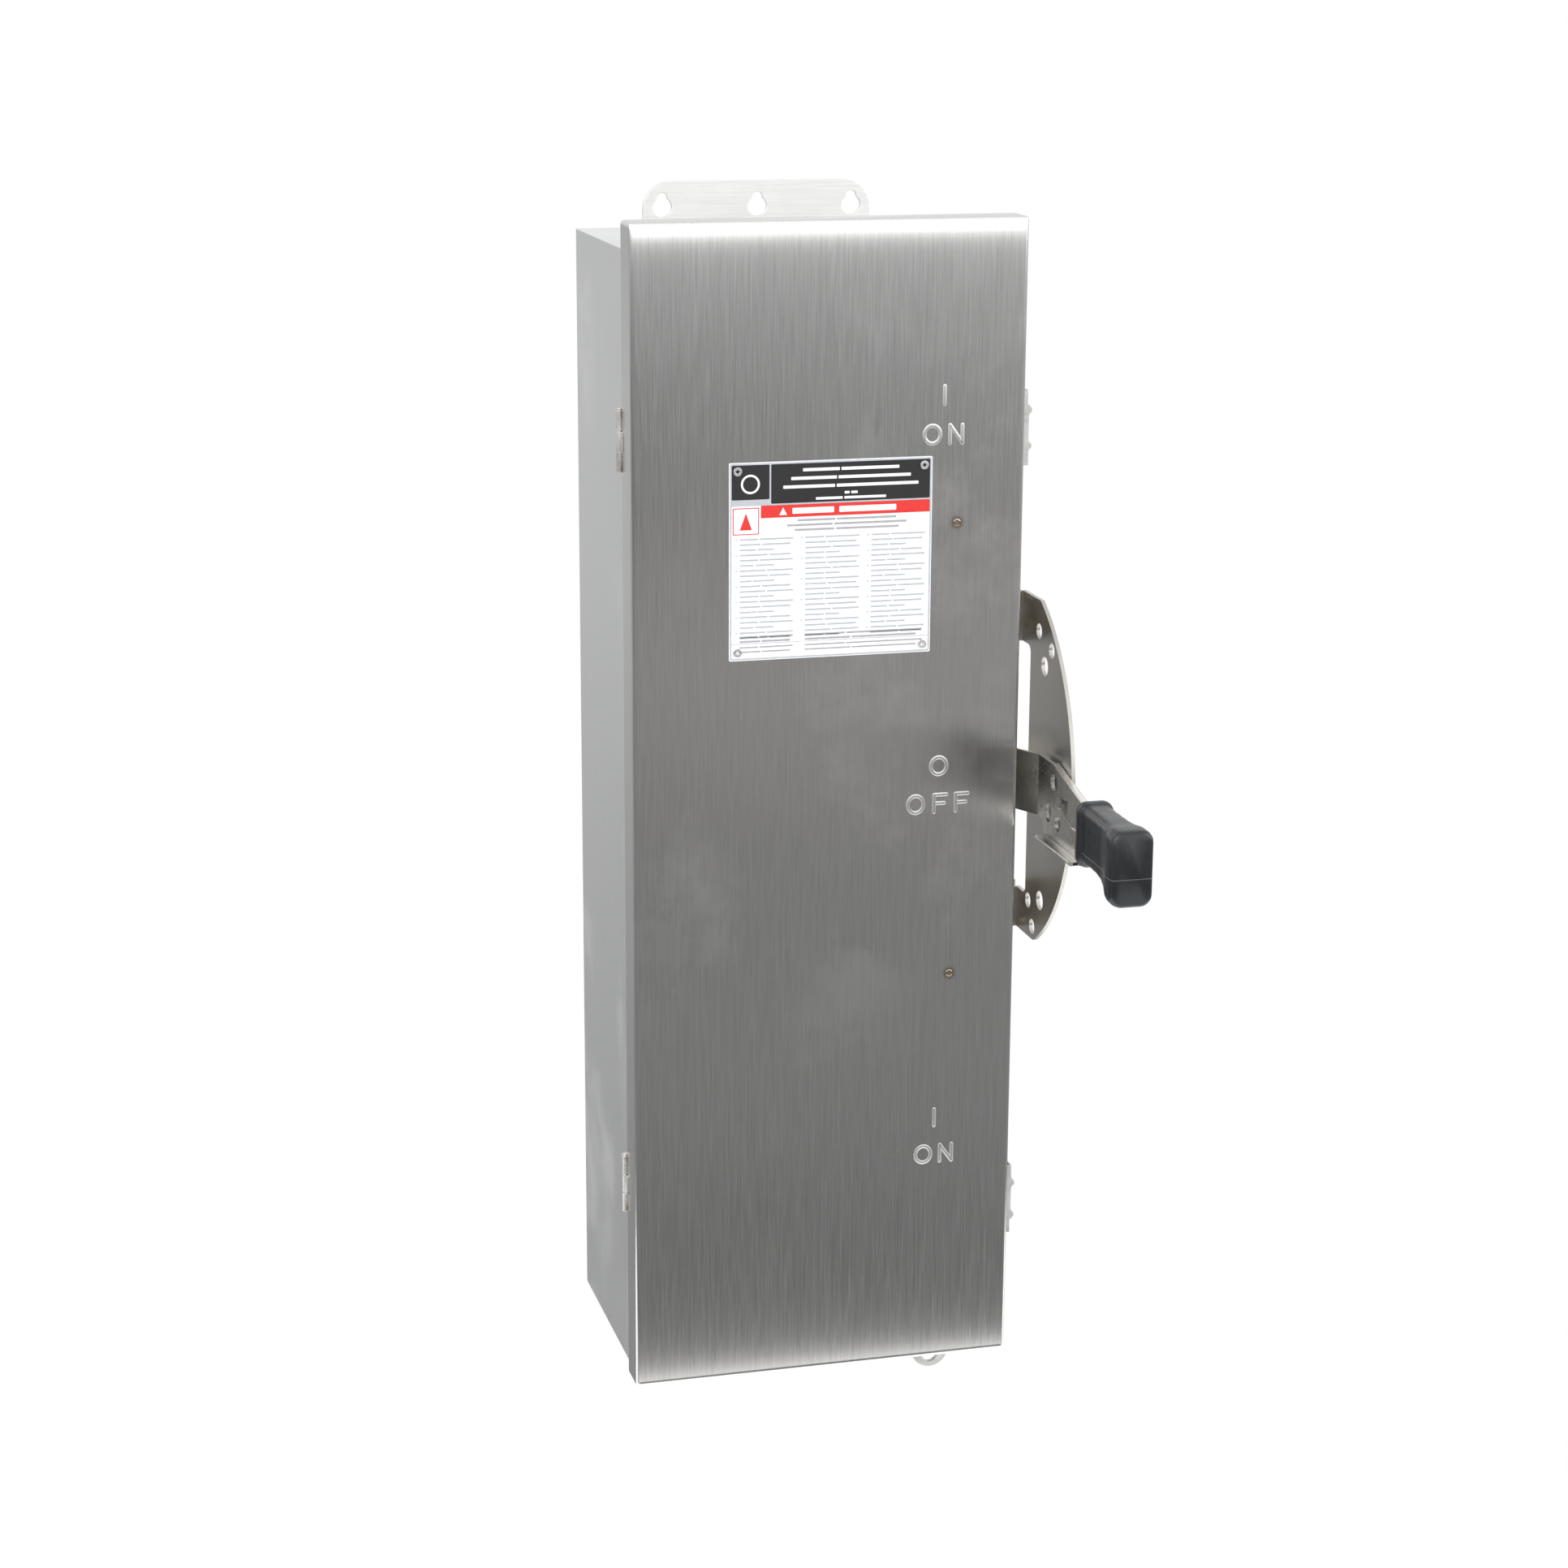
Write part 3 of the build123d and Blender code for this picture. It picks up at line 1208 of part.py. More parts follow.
def ground_bar():
    front = PANEL_Y - GROUND_D
    z = sum(GROUND_Z) / 2
    with BuildPart() as bar:
        block(GROUND_X, (PANEL_Y, front), GROUND_Z)
        for x in ground_screw_places():
            rod_z(GROUND_WIRE_R, x, PANEL_Y - GROUND_WIRE_OUT, past(GROUND_Z), Mode.SUBTRACT)
            rod_y(SCREW_R, x, (front + GROUND_SCREW_DEEP, front - 1), z, Mode.SUBTRACT)
    save(bar, "ground_bar")


def ground_screws():
    front = PANEL_Y - GROUND_D
    z = sum(GROUND_Z) / 2
    slot_w, slot_deep = SCREW_SLOT
    with BuildPart() as screws:
        for x in ground_screw_places():
            rod_y(SCREW_SHANK_R, x, (front + GROUND_SCREW_DEEP, front), z)
            rod_y(GROUND_HEAD_R, x, (front, front - SCREW_HEAD), z)
            slot_y = (front - SCREW_HEAD + slot_deep, front - SCREW_HEAD - slot_deep)
            block(around(x, GROUND_HEAD_R + 1), slot_y, around(z, slot_w / 2), Mode.SUBTRACT)
    save(screws, "ground_screws")


# ---- blade rotors and links ----
def blades(label, side):
    with BuildPart() as copper:
        for x in POLES:
            plane = lever_plane(x - BLADE_T / 2, AXIS_Y, axis_z(side), side * REST_ANGLE[side])
            with BuildSketch(plane):
                with Locations(((BLADE_LEN - BLADE_TAIL) / 2, 0)):
                    RectangleRounded(BLADE_LEN + BLADE_TAIL, BLADE_W, BLADE_END_R)
                Circle(PIN_R + RUN, mode=Mode.SUBTRACT)
            extrude(amount=BLADE_T)
    save(copper, label)


def crossbar(label, side):
    """Insulating bar that ties the three blades; each blade passes through its slot."""
    length = ARM_PLATES[1][0] - ARM_PLATES[0][1]
    with BuildPart() as bar:
        plane = lever_plane(ARM_PLATES[0][1], AXIS_Y, axis_z(side), side * REST_ANGLE[side])
        with BuildSketch(plane):
            with Locations((BAR_AT, 0)):
                RectangleRounded(*BAR_SECTION, 2)
        extrude(amount=length)
        for x in POLES:
            plane = lever_plane(x - BLADE_T / 2, AXIS_Y, axis_z(side), side * REST_ANGLE[side])
            with BuildSketch(plane):
                with Locations((BAR_AT, 0)):
                    Rectangle(BAR_SECTION[0] + 2 * OVERCUT, BLADE_W)
            extrude(amount=BLADE_T, mode=Mode.SUBTRACT)
    save(bar, label)


def rotor_arms(label, side):
    """End arms of a rotor; the right one also has the crank lobe and pin that the link turns."""
    z = axis_z(side)
    with BuildPart() as arms:
        for xs in ARM_PLATES:
            with BuildSketch(lever_plane(xs[0], AXIS_Y, z, side * REST_ANGLE[side])):
                Circle(ROTOR_HUB_R)
                with Locations((ROTOR_ARM[0] / 2, 0)):
                    Rectangle(*ROTOR_ARM)
            extrude(amount=xs[1] - xs[0])
        crank_x = ARM_PLATES[1]
        with BuildSketch(lever_plane(crank_x[0], AXIS_Y, z, 0)):
            with Locations((CRANK_R / 2, 0)):
                Rectangle(CRANK_R, 2 * LOBE_R)
            with Locations((CRANK_R, 0)):
                Circle(LOBE_R)
        extrude(amount=crank_x[1] - crank_x[0])
        rod_x(PIN_R, (crank_x[1], LINK_X[side][1] + 1), AXIS_Y - CRANK_R, z)
        for xs in ARM_PLATES:
            rod_x(PIN_R + RUN, past(xs), AXIS_Y, z, Mode.SUBTRACT)
    save(arms, label)


def link(label, side):
    """Bar from the handle's crank pin to a rotor's crank pin, parallel to the line of their axes."""
    dy = AXIS_Y - PIVOT_Y
    dz = side * AXIS_DZ
    start = (LINK_X[side][0], PIVOT_Y - CRANK_R, PIVOT_Z)
    length = hypot(dy, dz)
    with BuildPart() as bar:
        with BuildSketch(Plane(origin=start, x_dir=(0, dy, dz), z_dir=(1, 0, 0))):
            with Locations((length / 2, 0)):
                SlotCenterToCenter(length, 2 * LOBE_R)
            with Locations((0, 0), (length, 0)):
                Circle(PIN_R + RUN, mode=Mode.SUBTRACT)
            with Locations((length / 2, 0)):
                SlotCenterToCenter(length / 2, LINK_SLOT_W, mode=Mode.SUBTRACT)
        extrude(amount=LINK_X[side][1] - LINK_X[side][0])
    save(bar, label)


def main():
    os.makedirs("parts", exist_ok=True)
    enclosure_box()
    box_rim()
    mounting_foot("upper_mounting_foot", 1, BOX_TOP)
    mounting_foot("lower_mounting_foot", -1, BOX_BOTTOM)
    mounting_panel()
    panel_bolts()
    hasp_ear()
    hinge_box_leaves()
    hinge_door_leaves()
    hinge_pins()
    door_panel()
    door_hasp_ear()
    door_gasket()
    label_plate()
    label_eyelets()
    door_interlock_catch()
    latch_brackets()
    latch_pins()
    latch_clip("upper_latch_clip", LATCH_Z[0])
    latch_clip("lower_latch_clip", LATCH_Z[1])
    handle_arm()
    handle_grip()
    operating_shaft()
    handle_nut()
    drive_crank()
    interlock_cam()
    detent_cam()
    detent_spring()
    lock_plate()
    lock_plate_brackets()
    lock_plate_screws()
    shaft_bushing()
    bushing_nut()
    mechanism_bracket()
    load_base()
    base_screws()
    blade_jaws()
    blade_posts()
    load_busbars()
    fuse_clips()
    line_lugs()
    load_lugs()
    lug_screws()
    phase_barriers()
    arc_suppressors()
    rotor_bearings()
    ground_bar()
    ground_screws()
    for name, side in (("upper", 1), ("lower", -1)):
        switch_base(f"{name}_switch_base", side)
        fuses(f"{name}_fuses", side)
        blades(f"{name}_blades", side)
        crossbar(f"{name}_crossbar", side)
        rotor_arms(f"{name}_rotor_arms", side)
        link(f"{name}_link", side)


main()
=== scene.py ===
import json
from math import cos, exp, pi, radians, sin

import bmesh
import bpy
from mathutils import Matrix, Vector


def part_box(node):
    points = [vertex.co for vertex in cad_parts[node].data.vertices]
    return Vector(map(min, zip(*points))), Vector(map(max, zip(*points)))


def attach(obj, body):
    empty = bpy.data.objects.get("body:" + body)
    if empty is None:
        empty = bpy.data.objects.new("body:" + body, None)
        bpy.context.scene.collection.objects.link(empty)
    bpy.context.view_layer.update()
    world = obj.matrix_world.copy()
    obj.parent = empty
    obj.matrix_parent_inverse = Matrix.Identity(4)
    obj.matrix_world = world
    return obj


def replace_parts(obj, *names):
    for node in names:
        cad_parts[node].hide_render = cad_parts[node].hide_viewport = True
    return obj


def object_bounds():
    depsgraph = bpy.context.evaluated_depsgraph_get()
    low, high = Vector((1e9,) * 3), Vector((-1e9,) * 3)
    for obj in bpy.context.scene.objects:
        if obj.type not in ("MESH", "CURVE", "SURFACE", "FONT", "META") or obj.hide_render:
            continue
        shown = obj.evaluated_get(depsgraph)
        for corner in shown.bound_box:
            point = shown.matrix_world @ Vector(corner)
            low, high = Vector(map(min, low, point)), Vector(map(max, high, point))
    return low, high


# A fused double-throw disconnect switch: a stainless enclosure with a side handle.
# Metres, in the CAD frame: +X right, +Y into the wall, +Z up, origin on the wall plane.

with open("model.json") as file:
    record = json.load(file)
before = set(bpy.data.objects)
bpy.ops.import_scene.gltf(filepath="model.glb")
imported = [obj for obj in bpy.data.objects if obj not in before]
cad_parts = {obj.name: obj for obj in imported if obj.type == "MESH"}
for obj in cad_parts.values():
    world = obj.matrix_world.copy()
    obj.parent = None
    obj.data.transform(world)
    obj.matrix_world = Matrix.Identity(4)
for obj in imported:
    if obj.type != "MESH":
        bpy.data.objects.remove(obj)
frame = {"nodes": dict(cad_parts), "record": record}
CAD_BOX = [list(corner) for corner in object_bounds()]
NODES = frame["nodes"]
BODIES = frame["record"]["behaviour"]["bodies"]
BODY_OF = {node: body for body, names in BODIES.items() for node in names}
MM = 0.001

DOOR_LOW, DOOR_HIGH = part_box("door_panel")
LABEL_LOW, LABEL_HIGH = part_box("label_plate")
GRIP_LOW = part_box("handle_grip")[0]
BOX_LOW, BOX_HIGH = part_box("enclosure_box")
DOOR_FACE = DOOR_LOW.y
SHEET = 1.6 * MM
BEND_R = 3.0 * MM


# ---- node helpers ----
class Nodes:
    """A short way to write a material's or the world's node tree."""

    def __init__(self, owner):
        owner.use_nodes = True
        self.owner = owner
        self.tree = owner.node_tree
        self.shader = self.tree.nodes.get("Principled BSDF")

    def add(self, kind, **settings):
        node = self.tree.nodes.new("ShaderNode" + kind)
        for key, value in settings.items():
            if hasattr(node, key):
                setattr(node, key, value)
            else:
                node.inputs[key.replace("_", " ")].default_value = value
        return node

    def feed(self, socket, value):
        """Link a socket, or set it to a number or a colour."""
        if isinstance(value, (int, float)):
            socket.default_value = value
        elif isinstance(value, tuple):
            socket.default_value = (*value, 1) if socket.type == "RGBA" else value
        else:
            self.tree.links.new(value, socket)

    def place(self, scale=(1, 1, 1)):
        """Object coordinates, scaled."""
        coord = self.add("TexCoord")
        mapping = self.add("Mapping")
        mapping.inputs["Scale"].default_value = scale
        self.feed(mapping.inputs["Vector"], coord.outputs["Object"])
        return mapping.outputs["Vector"]

    def noise(self, vector, scale, detail=3.0, roughness=0.5):
        node = self.add("TexNoise", Scale=scale, Detail=detail, Roughness=roughness)
        self.feed(node.inputs["Vector"], vector)
        return node.outputs["Fac"]

    def ramp(self, fac, stops):
        node = self.add("ValToRGB")
        elements = node.color_ramp.elements
        while len(elements) < len(stops):
            elements.new(0.5)  # the place is set below
        for element, (position, colour) in zip(elements, stops):
            element.position = position
            shade = (colour, colour, colour) if isinstance(colour, (int, float)) else colour
            element.color = (*shade, 1)
        self.feed(node.inputs["Fac"], fac)
        return node.outputs["Color"]

    def math(self, operation, first, second=0.0):
        node = self.add("Math", operation=operation)
        self.feed(node.inputs[0], first)
        self.feed(node.inputs[1], second)
        return node.outputs[0]

    def span(self, fac, low, high, to_low=0.0, to_high=1.0, shape="LINEAR"):
        """fac from low..high carried to to_low..to_high."""
        node = self.add("MapRange", interpolation_type=shape)
        limits = {"From Min": low, "From Max": high, "To Min": to_low, "To Max": to_high}
        for name, value in limits.items():
            node.inputs[name].default_value = value
        self.feed(node.inputs["Value"], fac)
        return node.outputs["Result"]

    def mix(self, fac, first, second, blend="MIX"):
        node = self.add("Mix", data_type="RGBA", blend_type=blend)
        colours = [socket for socket in node.inputs if socket.type == "RGBA"]
        self.feed(node.inputs["Factor"], fac)
        self.feed(colours[0], first)
        self.feed(colours[1], second)
        return next(socket for socket in node.outputs if socket.type == "RGBA")

    def bump(self, height, strength, distance):
        node = self.add("Bump", Strength=strength, Distance=distance)
        self.feed(node.inputs["Height"], height)
        self.feed(self.shader.inputs["Normal"], node.outputs["Normal"])

    def away_from(self, point, across):
        """Distance in metres from a point, measured in the plane whose axes are 1 in across."""
        coord = self.add("TexCoord")
        offset = self.add("VectorMath", operation="SUBTRACT")
        offset.inputs[1].default_value = point
        self.feed(offset.inputs[0], coord.outputs["Object"])
        flat = self.add("VectorMath", operation="MULTIPLY")
        flat.inputs[1].default_value = across
        self.feed(flat.inputs[0], offset.outputs[0])
        length = self.add("VectorMath", operation="LENGTH")
        self.feed(length.inputs[0], flat.outputs[0])
        return length.outputs["Value"]

    def set(self, **values):
        for key, value in values.items():
            self.feed(self.shader.inputs[key.replace("_", " ")], value)


def shades(tone, *factors):
    return [tuple(min(1.0, c * factor) for c in tone) for factor in factors]


# ---- materials ----
# Scales that draw the grain out along one direction, and the turn of the highlight that goes with it.
GRAIN = {"vertical": ((760, 760, 15), 0.0), "horizontal": ((15, 760, 760), 0.25)}
FINER = 2.2
GRAIN_ROUGHNESS = 0.6
GRAIN_DARK = 0.32
GRAIN_LIGHT = 0.68
GRAIN_BUMP = 0.05
GRAIN_DEPTH = 0.03 * MM
# Hand smudges: a cloudy film that shows only inside larger patches, lighter and duller than the sheet.
SMUDGE_SCALE = 11.0
SMUDGE_FILM = ((0.50, 0.0), (0.66, 0.55))
PATCH_STRETCH = (1, 1, 0.6)
PATCH_SCALE = 3.2
PATCH_COVER = ((0.48, 0.0), (0.60, 1.0))
SMUDGE_TONE = 1.24
SMUDGE_DULL = 0.08
# The normal's part along Y at the foot of a stamped flank and well up it.
FLANK_FOOT = 0.998
FLANK_MIDDLE = 0.970
STAMPED_STREAK = 0.08
CREST_ROUGHNESS = 0.26
FLANK_ROUGHNESS = 0.42
# Rolled and plated metal.
CLOUD_SCALE = 26.0
SCRATCH_STRETCH = (60, 700, 700)
SCRATCH_BUMP = 0.12
SCRATCH_DEPTH = 0.04 * MM
SPECK_SCALE = 420.0
SPECK_TONE = 0.45
# Heat tint by distance from a weld: grey, brown, straw, clear.
TINT = ((0.0, (0.80, 0.68, 0.58)), (0.40, (0.42, 0.29, 0.19)), (0.70, (0.78, 0.62, 0.42)), (1.0, (1, 1, 1)))
TINT_COVER = 0.9
SHEET_TINT_HELD = (0.55, 0.7)
PLATE_TINT_HELD = (0.6, 0.75)
FRONTAL = (1, 0, 1)
ALL_ROUND = (1, 1, 1)
# Moulded and printed surfaces.
MOULD_CLOUD_SCALE = 45.0
MOULD_CLOUD_STRETCH = (1, 1, 0.5)
DUST = (0.26, 0.28, 0.31)
PIT_DEPTH = 0.1 * MM
MOTTLE_SCALE = 220.0
INK_BUMP = 0.05
INK_DEPTH = 0.05 * MM


def heat_tint(nodes, colour, spots, held):
    """Tint the metal round each spot; held is the distance and strength up to which the tint stays."""
    for point, radius, across in spots:
        near = nodes.span(nodes.away_from(point, across), 0.0, radius)
        cover = nodes.ramp(near, ((0.0, TINT_COVER), held, (1.0, 0.0)))
        colour = nodes.mix(cover, colour, nodes.ramp(near, TINT), "MULTIPLY")
    return colour


def brushed_steel(name, tone, grain="vertical", roughness=0.20, streak=0.08, spots=(), anisotropy=0.88):
    """Brushed stainless sheet: fine grain one way, hand smudges, and heat tint round each spot."""
    nodes = Nodes(bpy.data.materials.new(name))
    stretch, turn = GRAIN[grain]
    coarse = nodes.noise(nodes.place(stretch), 1.0, roughness=GRAIN_ROUGHNESS)
    fine = nodes.noise(nodes.place(tuple(FINER * s for s in stretch)), 1.0, detail=2.0)
    smudge = nodes.noise(nodes.place(), SMUDGE_SCALE, detail=5.0, roughness=0.62)
    patch = nodes.noise(nodes.place(PATCH_STRETCH), PATCH_SCALE, detail=2.0)
    lines = nodes.mix(0.5, coarse, fine)
    dark, light, worn = shades(tone, 1 - streak, 1 + streak, SMUDGE_TONE)
    colour = nodes.ramp(lines, ((GRAIN_DARK, dark), (GRAIN_LIGHT, light)))
    film = nodes.ramp(smudge, SMUDGE_FILM)
    film = nodes.mix(1.0, film, nodes.ramp(patch, PATCH_COVER), "MULTIPLY")
    colour = nodes.mix(film, colour, worn)
    colour = heat_tint(nodes, colour, spots, SHEET_TINT_HELD)
    rough = nodes.span(lines, 0.25, 0.75, roughness - 0.03, roughness + 0.04)
    rough = nodes.math("ADD", rough, nodes.math("MULTIPLY", film, SMUDGE_DULL))
    tangent = nodes.add("Tangent", direction_type="RADIAL", axis="Z")
    nodes.set(
        Base_Color=colour, Metallic=1.0, Roughness=rough, Tangent=tangent.outputs["Tangent"],
        Anisotropic=anisotropy, Anisotropic_Rotation=turn,
    )
    nodes.bump(lines, GRAIN_BUMP, GRAIN_DEPTH)
    return nodes.owner


def stamped_steel(name, tone, flank_shade_factor):
    """Brushed sheet round a stamped mark: painted shade darkens the flanks' colour below the crest's, and the
    flanks are rougher.
    """
    nodes = Nodes(bpy.data.materials.new(name))
    coord = nodes.add("TexCoord")
    split = nodes.add("SeparateXYZ")
    nodes.feed(split.inputs[0], coord.outputs["Normal"])
    facing = nodes.math("ABSOLUTE", split.outputs["Y"])
    flank = nodes.span(facing, FLANK_FOOT, FLANK_MIDDLE)
    lines = nodes.noise(nodes.place(GRAIN["vertical"][0]), 1.0, roughness=GRAIN_ROUGHNESS)
    # Painted shade: the flanks take a darker copy of the sheet's tone, chosen by their slope.
    dark, light, flank_shade = shades(tone, 1 - STAMPED_STREAK, 1 + STAMPED_STREAK, flank_shade_factor)
    colour = nodes.ramp(lines, ((GRAIN_DARK, dark), (GRAIN_LIGHT, light)))
    nodes.set(
        Base_Color=nodes.mix(flank, colour, flank_shade), Metallic=1.0,
        Roughness=nodes.span(flank, 0.0, 1.0, CREST_ROUGHNESS, FLANK_ROUGHNESS),
    )
    nodes.bump(lines, GRAIN_BUMP, GRAIN_DEPTH)
    return nodes.owner


def smooth_metal(name, tone, roughness=0.28, blotch=0.12, speck=0.0, spots=()):
    """Rolled or plated metal: cloudy tone, fine scratches, dark specks, heat tint near welds."""
    nodes = Nodes(bpy.data.materials.new(name))
    cloud = nodes.noise(nodes.place(), CLOUD_SCALE, detail=5.0, roughness=0.6)
    scratch = nodes.noise(nodes.place(SCRATCH_STRETCH), 1.0, roughness=0.7)
    dark, light, spot = shades(tone, 1 - blotch, 1 + blotch * 0.6, SPECK_TONE)
    colour = nodes.ramp(cloud, ((0.35, dark), (0.65, light)))
    if speck:
        dots = nodes.ramp(nodes.noise(nodes.place(), SPECK_SCALE, detail=2.0), ((0.66, 0.0), (0.74, speck)))
        colour = nodes.mix(dots, colour, spot)
    colour = heat_tint(nodes, colour, spots, PLATE_TINT_HELD)
    rough = nodes.span(nodes.mix(0.5, cloud, scratch), 0.3, 0.7, roughness - 0.06, roughness + 0.1)
    nodes.set(Base_Color=colour, Metallic=1.0, Roughness=rough)
    nodes.bump(scratch, SCRATCH_BUMP, SCRATCH_DEPTH)
    return nodes.owner


def moulded(name, tone, roughness, grain, dust=0.0, pitting=0.25):
    """Moulded plastic or rubber: fine pitted skin, cloudy sheen, and dust caught on the surface."""
    nodes = Nodes(bpy.data.materials.new(name))
    pits = nodes.noise(nodes.place(), grain, detail=2.0)
    cloud = nodes.noise(nodes.place(MOULD_CLOUD_STRETCH), MOULD_CLOUD_SCALE, detail=6.0, roughness=0.66)
    dark, light = shades(tone, 0.75, 1.25)
    colour = nodes.ramp(cloud, ((0.3, dark), (0.7, light)))
    if dust:
        film = nodes.ramp(cloud, ((0.50, 0.0), (0.80, dust)))
        colour = nodes.mix(film, colour, DUST)
    rough = nodes.span(cloud, 0.3, 0.7, roughness - 0.08, roughness + 0.1)
    nodes.set(Base_Color=colour, Roughness=rough)
    nodes.bump(pits, pitting, PIT_DEPTH)
    return nodes.owner


def printed(name, tone, roughness=0.4):
    """Screen-printed ink on the label: even tone with a faint mottle and fine grain."""
    nodes = Nodes(bpy.data.materials.new(name))
    mottle = nodes.noise(nodes.place(), MOTTLE_SCALE, detail=4.0)
    thin, full = shades(tone, 0.94, 1.03)
    nodes.set(
        Base_Color=nodes.ramp(mottle, ((0.35, thin), (0.65, full))),
        Roughness=nodes.span(mottle, 0.3, 0.7, roughness - 0.04, roughness + 0.06),
    )
    nodes.bump(mottle, INK_BUMP, INK_DEPTH)
    return nodes.owner


# Places of heat tint, in millimetres, each kept as (point, radius, axes it spreads in).
HINGE_X, HINGE_Y = -144, -180
HINGE_MIDDLES = (289, -291)
KNUCKLE_HALF = 20
DOOR_WELD_X = 102.3
DOOR_WELD_ZS = (223.8, -129.7)
LOCK_FOOT_X, LOCK_FOOT_Y = 165, -141
LOCK_FOOT_ZS = (131, 151, -92, -112)

HINGE_ENDS = [
    (Vector((HINGE_X, HINGE_Y, z + side * KNUCKLE_HALF)) * MM, 6 * MM, ALL_ROUND)
    for z in HINGE_MIDDLES for side in (1, -1)
]
DOOR_WELDS = [(Vector((DOOR_WELD_X, 0, z)) * MM, 7 * MM, FRONTAL) for z in DOOR_WELD_ZS]
LOCK_FEET = [(Vector((LOCK_FOOT_X, LOCK_FOOT_Y, z)) * MM, 17 * MM, ALL_ROUND) for z in LOCK_FOOT_ZS]

STEEL = (0.60, 0.60, 0.595)
MATERIALS = {
    "door": brushed_steel("door_stainless", STEEL, spots=DOOR_WELDS + HINGE_ENDS),
    # The stamped marks' flanks carry painted shade at 0.92 of the sheet's tone.
    "mark": stamped_steel("stamped_stainless", STEEL, 0.92),
    "box": brushed_steel("box_stainless", (0.66, 0.665, 0.67), roughness=0.34, streak=0.05, anisotropy=0.5),
    "foot": brushed_steel("foot_stainless", (0.70, 0.70, 0.69), "horizontal", 0.42, 0.09, anisotropy=0.6),
    "smooth": smooth_metal("smooth_stainless", (0.68, 0.67, 0.655)),
    "hinge": smooth_metal("hinge_stainless", (0.70, 0.69, 0.67), 0.26, 0.16, 0.4, HINGE_ENDS),
    "plate": smooth_metal("plate_stainless", (0.45, 0.436, 0.405), 0.32, 0.07, 0.25, LOCK_FEET),
    "arm": smooth_metal("arm_stainless", (0.62, 0.60, 0.565), 0.27, 0.05, 0.12),
    # The lips are the arm's own steel drawn lighter: a painted highlight along the arm's edges.
    "lip": smooth_metal("lip_stainless_painted_highlight", (0.76, 0.75, 0.73), 0.22, 0.05),
    "bracket": smooth_metal("tinted_bracket", (0.42, 0.37, 0.31), 0.42, 0.22, 0.5),
    "zinc": smooth_metal("zinc_plate", (0.62, 0.62, 0.58), 0.36, 0.16),
    "copper": smooth_metal("plated_copper", (0.80, 0.50, 0.34), 0.30, 0.14),
    "tin": smooth_metal("tinned_metal", (0.74, 0.74, 0.75), 0.34, 0.10),
    "rubber": moulded("grip_rubber", (0.007, 0.0085, 0.011), 0.30, 1300.0, 0.10, 0.15),
    "seam": moulded("grip_seam", (0.10, 0.10, 0.11), 0.5, 1300.0),
    "gasket": moulded("gasket_foam", (0.045, 0.045, 0.047), 0.75, 700.0, 0.15),
    "black": moulded("moulded_base", (0.030, 0.030, 0.033), 0.42, 600.0, 0.10),
    "fibre": moulded("grey_fibre", (0.23, 0.22, 0.20), 0.62, 500.0, 0.12),
    "fuse": moulded("fuse_tube", (0.62, 0.55, 0.40), 0.5, 300.0),
    "white_print": printed("label_white", (0.74, 0.745, 0.75)),
    "black_print": printed("label_black", (0.004, 0.004, 0.0045), 0.5),
    "red_print": printed("label_red", (0.60, 0.020, 0.016), 0.5),
    "grey_print": printed("label_grey", (0.33, 0.33, 0.35)),
    "pale_print": printed("label_pale_grey", (0.40, 0.42, 0.46)),
}

USES = {
    "door": ("door_panel",),
    "box": ("enclosure_box", "box_rim"),
    "foot": ("upper_mounting_foot", "lower_mounting_foot"),
    "smooth": (
        "hasp_ear", "door_hasp_ear", "latch_brackets", "latch_pins", "upper_latch_clip", "lower_latch_clip",
        "handle_nut", "shaft_bushing", "label_eyelets",
    ),
    "hinge": ("hinge_box_leaves", "hinge_door_leaves", "hinge_pins"),
    "plate": ("lock_plate",),
    "arm": ("handle_arm",),
    "bracket": ("lock_plate_brackets", "lock_plate_screws"),
    "zinc": (
        "mounting_panel", "panel_bolts", "operating_shaft", "drive_crank", "interlock_cam", "detent_cam",
        "detent_spring", "bushing_nut", "mechanism_bracket", "base_screws", "lug_screws", "rotor_bearings",
        "ground_screws", "upper_rotor_arms", "lower_rotor_arms", "upper_link", "lower_link",
        "door_interlock_catch",
    ),
    "copper": (
        "blade_jaws", "blade_posts", "load_busbars", "fuse_clips", "ground_bar", "upper_blades",
        "lower_blades",
    ),
    "tin": ("line_lugs", "load_lugs"),
    "rubber": ("handle_grip",),
    "gasket": ("door_gasket",),
    "black": ("upper_switch_base", "lower_switch_base", "load_base", "upper_crossbar", "lower_crossbar"),
    "fibre": ("phase_barriers", "arc_suppressors"),
    "fuse": ("upper_fuses", "lower_fuses"),
    "white_print": ("label_plate",),
}
LOOK_OF = {node: MATERIALS[look] for look, names in USES.items() for node in names}

for node_name, look in LOOK_OF.items():
    NODES[node_name].data.materials.clear()
    NODES[node_name].data.materials.append(look)


# ---- mesh helpers ----
# Angles in degrees past which a piece shows a hard edge.
FOLDED_CREASE = 28
FLAT_CREASE = 30
MOULDED_CREASE = 50
ROUND_CREASE = 60
# CAD nodes shown with rolled edges.
EDGE_ANGLE = 35
EDGE_SEGMENTS = 2
COPLANAR_ANGLE = 0.6
WELD_GAP = 1e-6
TINY = 1e-7


def new_object(name, bm, look, body, crease):
    """Finish a bmesh as a piece that rides on a body."""
    mesh = bpy.data.meshes.new(name)
    bmesh.ops.recalc_face_normals(bm, faces=bm.faces)
    bm.to_mesh(mesh)
    bm.free()
    obj = bpy.data.objects.new(name, mesh)
    bpy.context.scene.collection.objects.link(obj)
    mesh.materials.append(look)
    mesh.shade_smooth()
    mesh.set_sharp_from_angle(angle=radians(crease))
    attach(obj, body)
    return obj


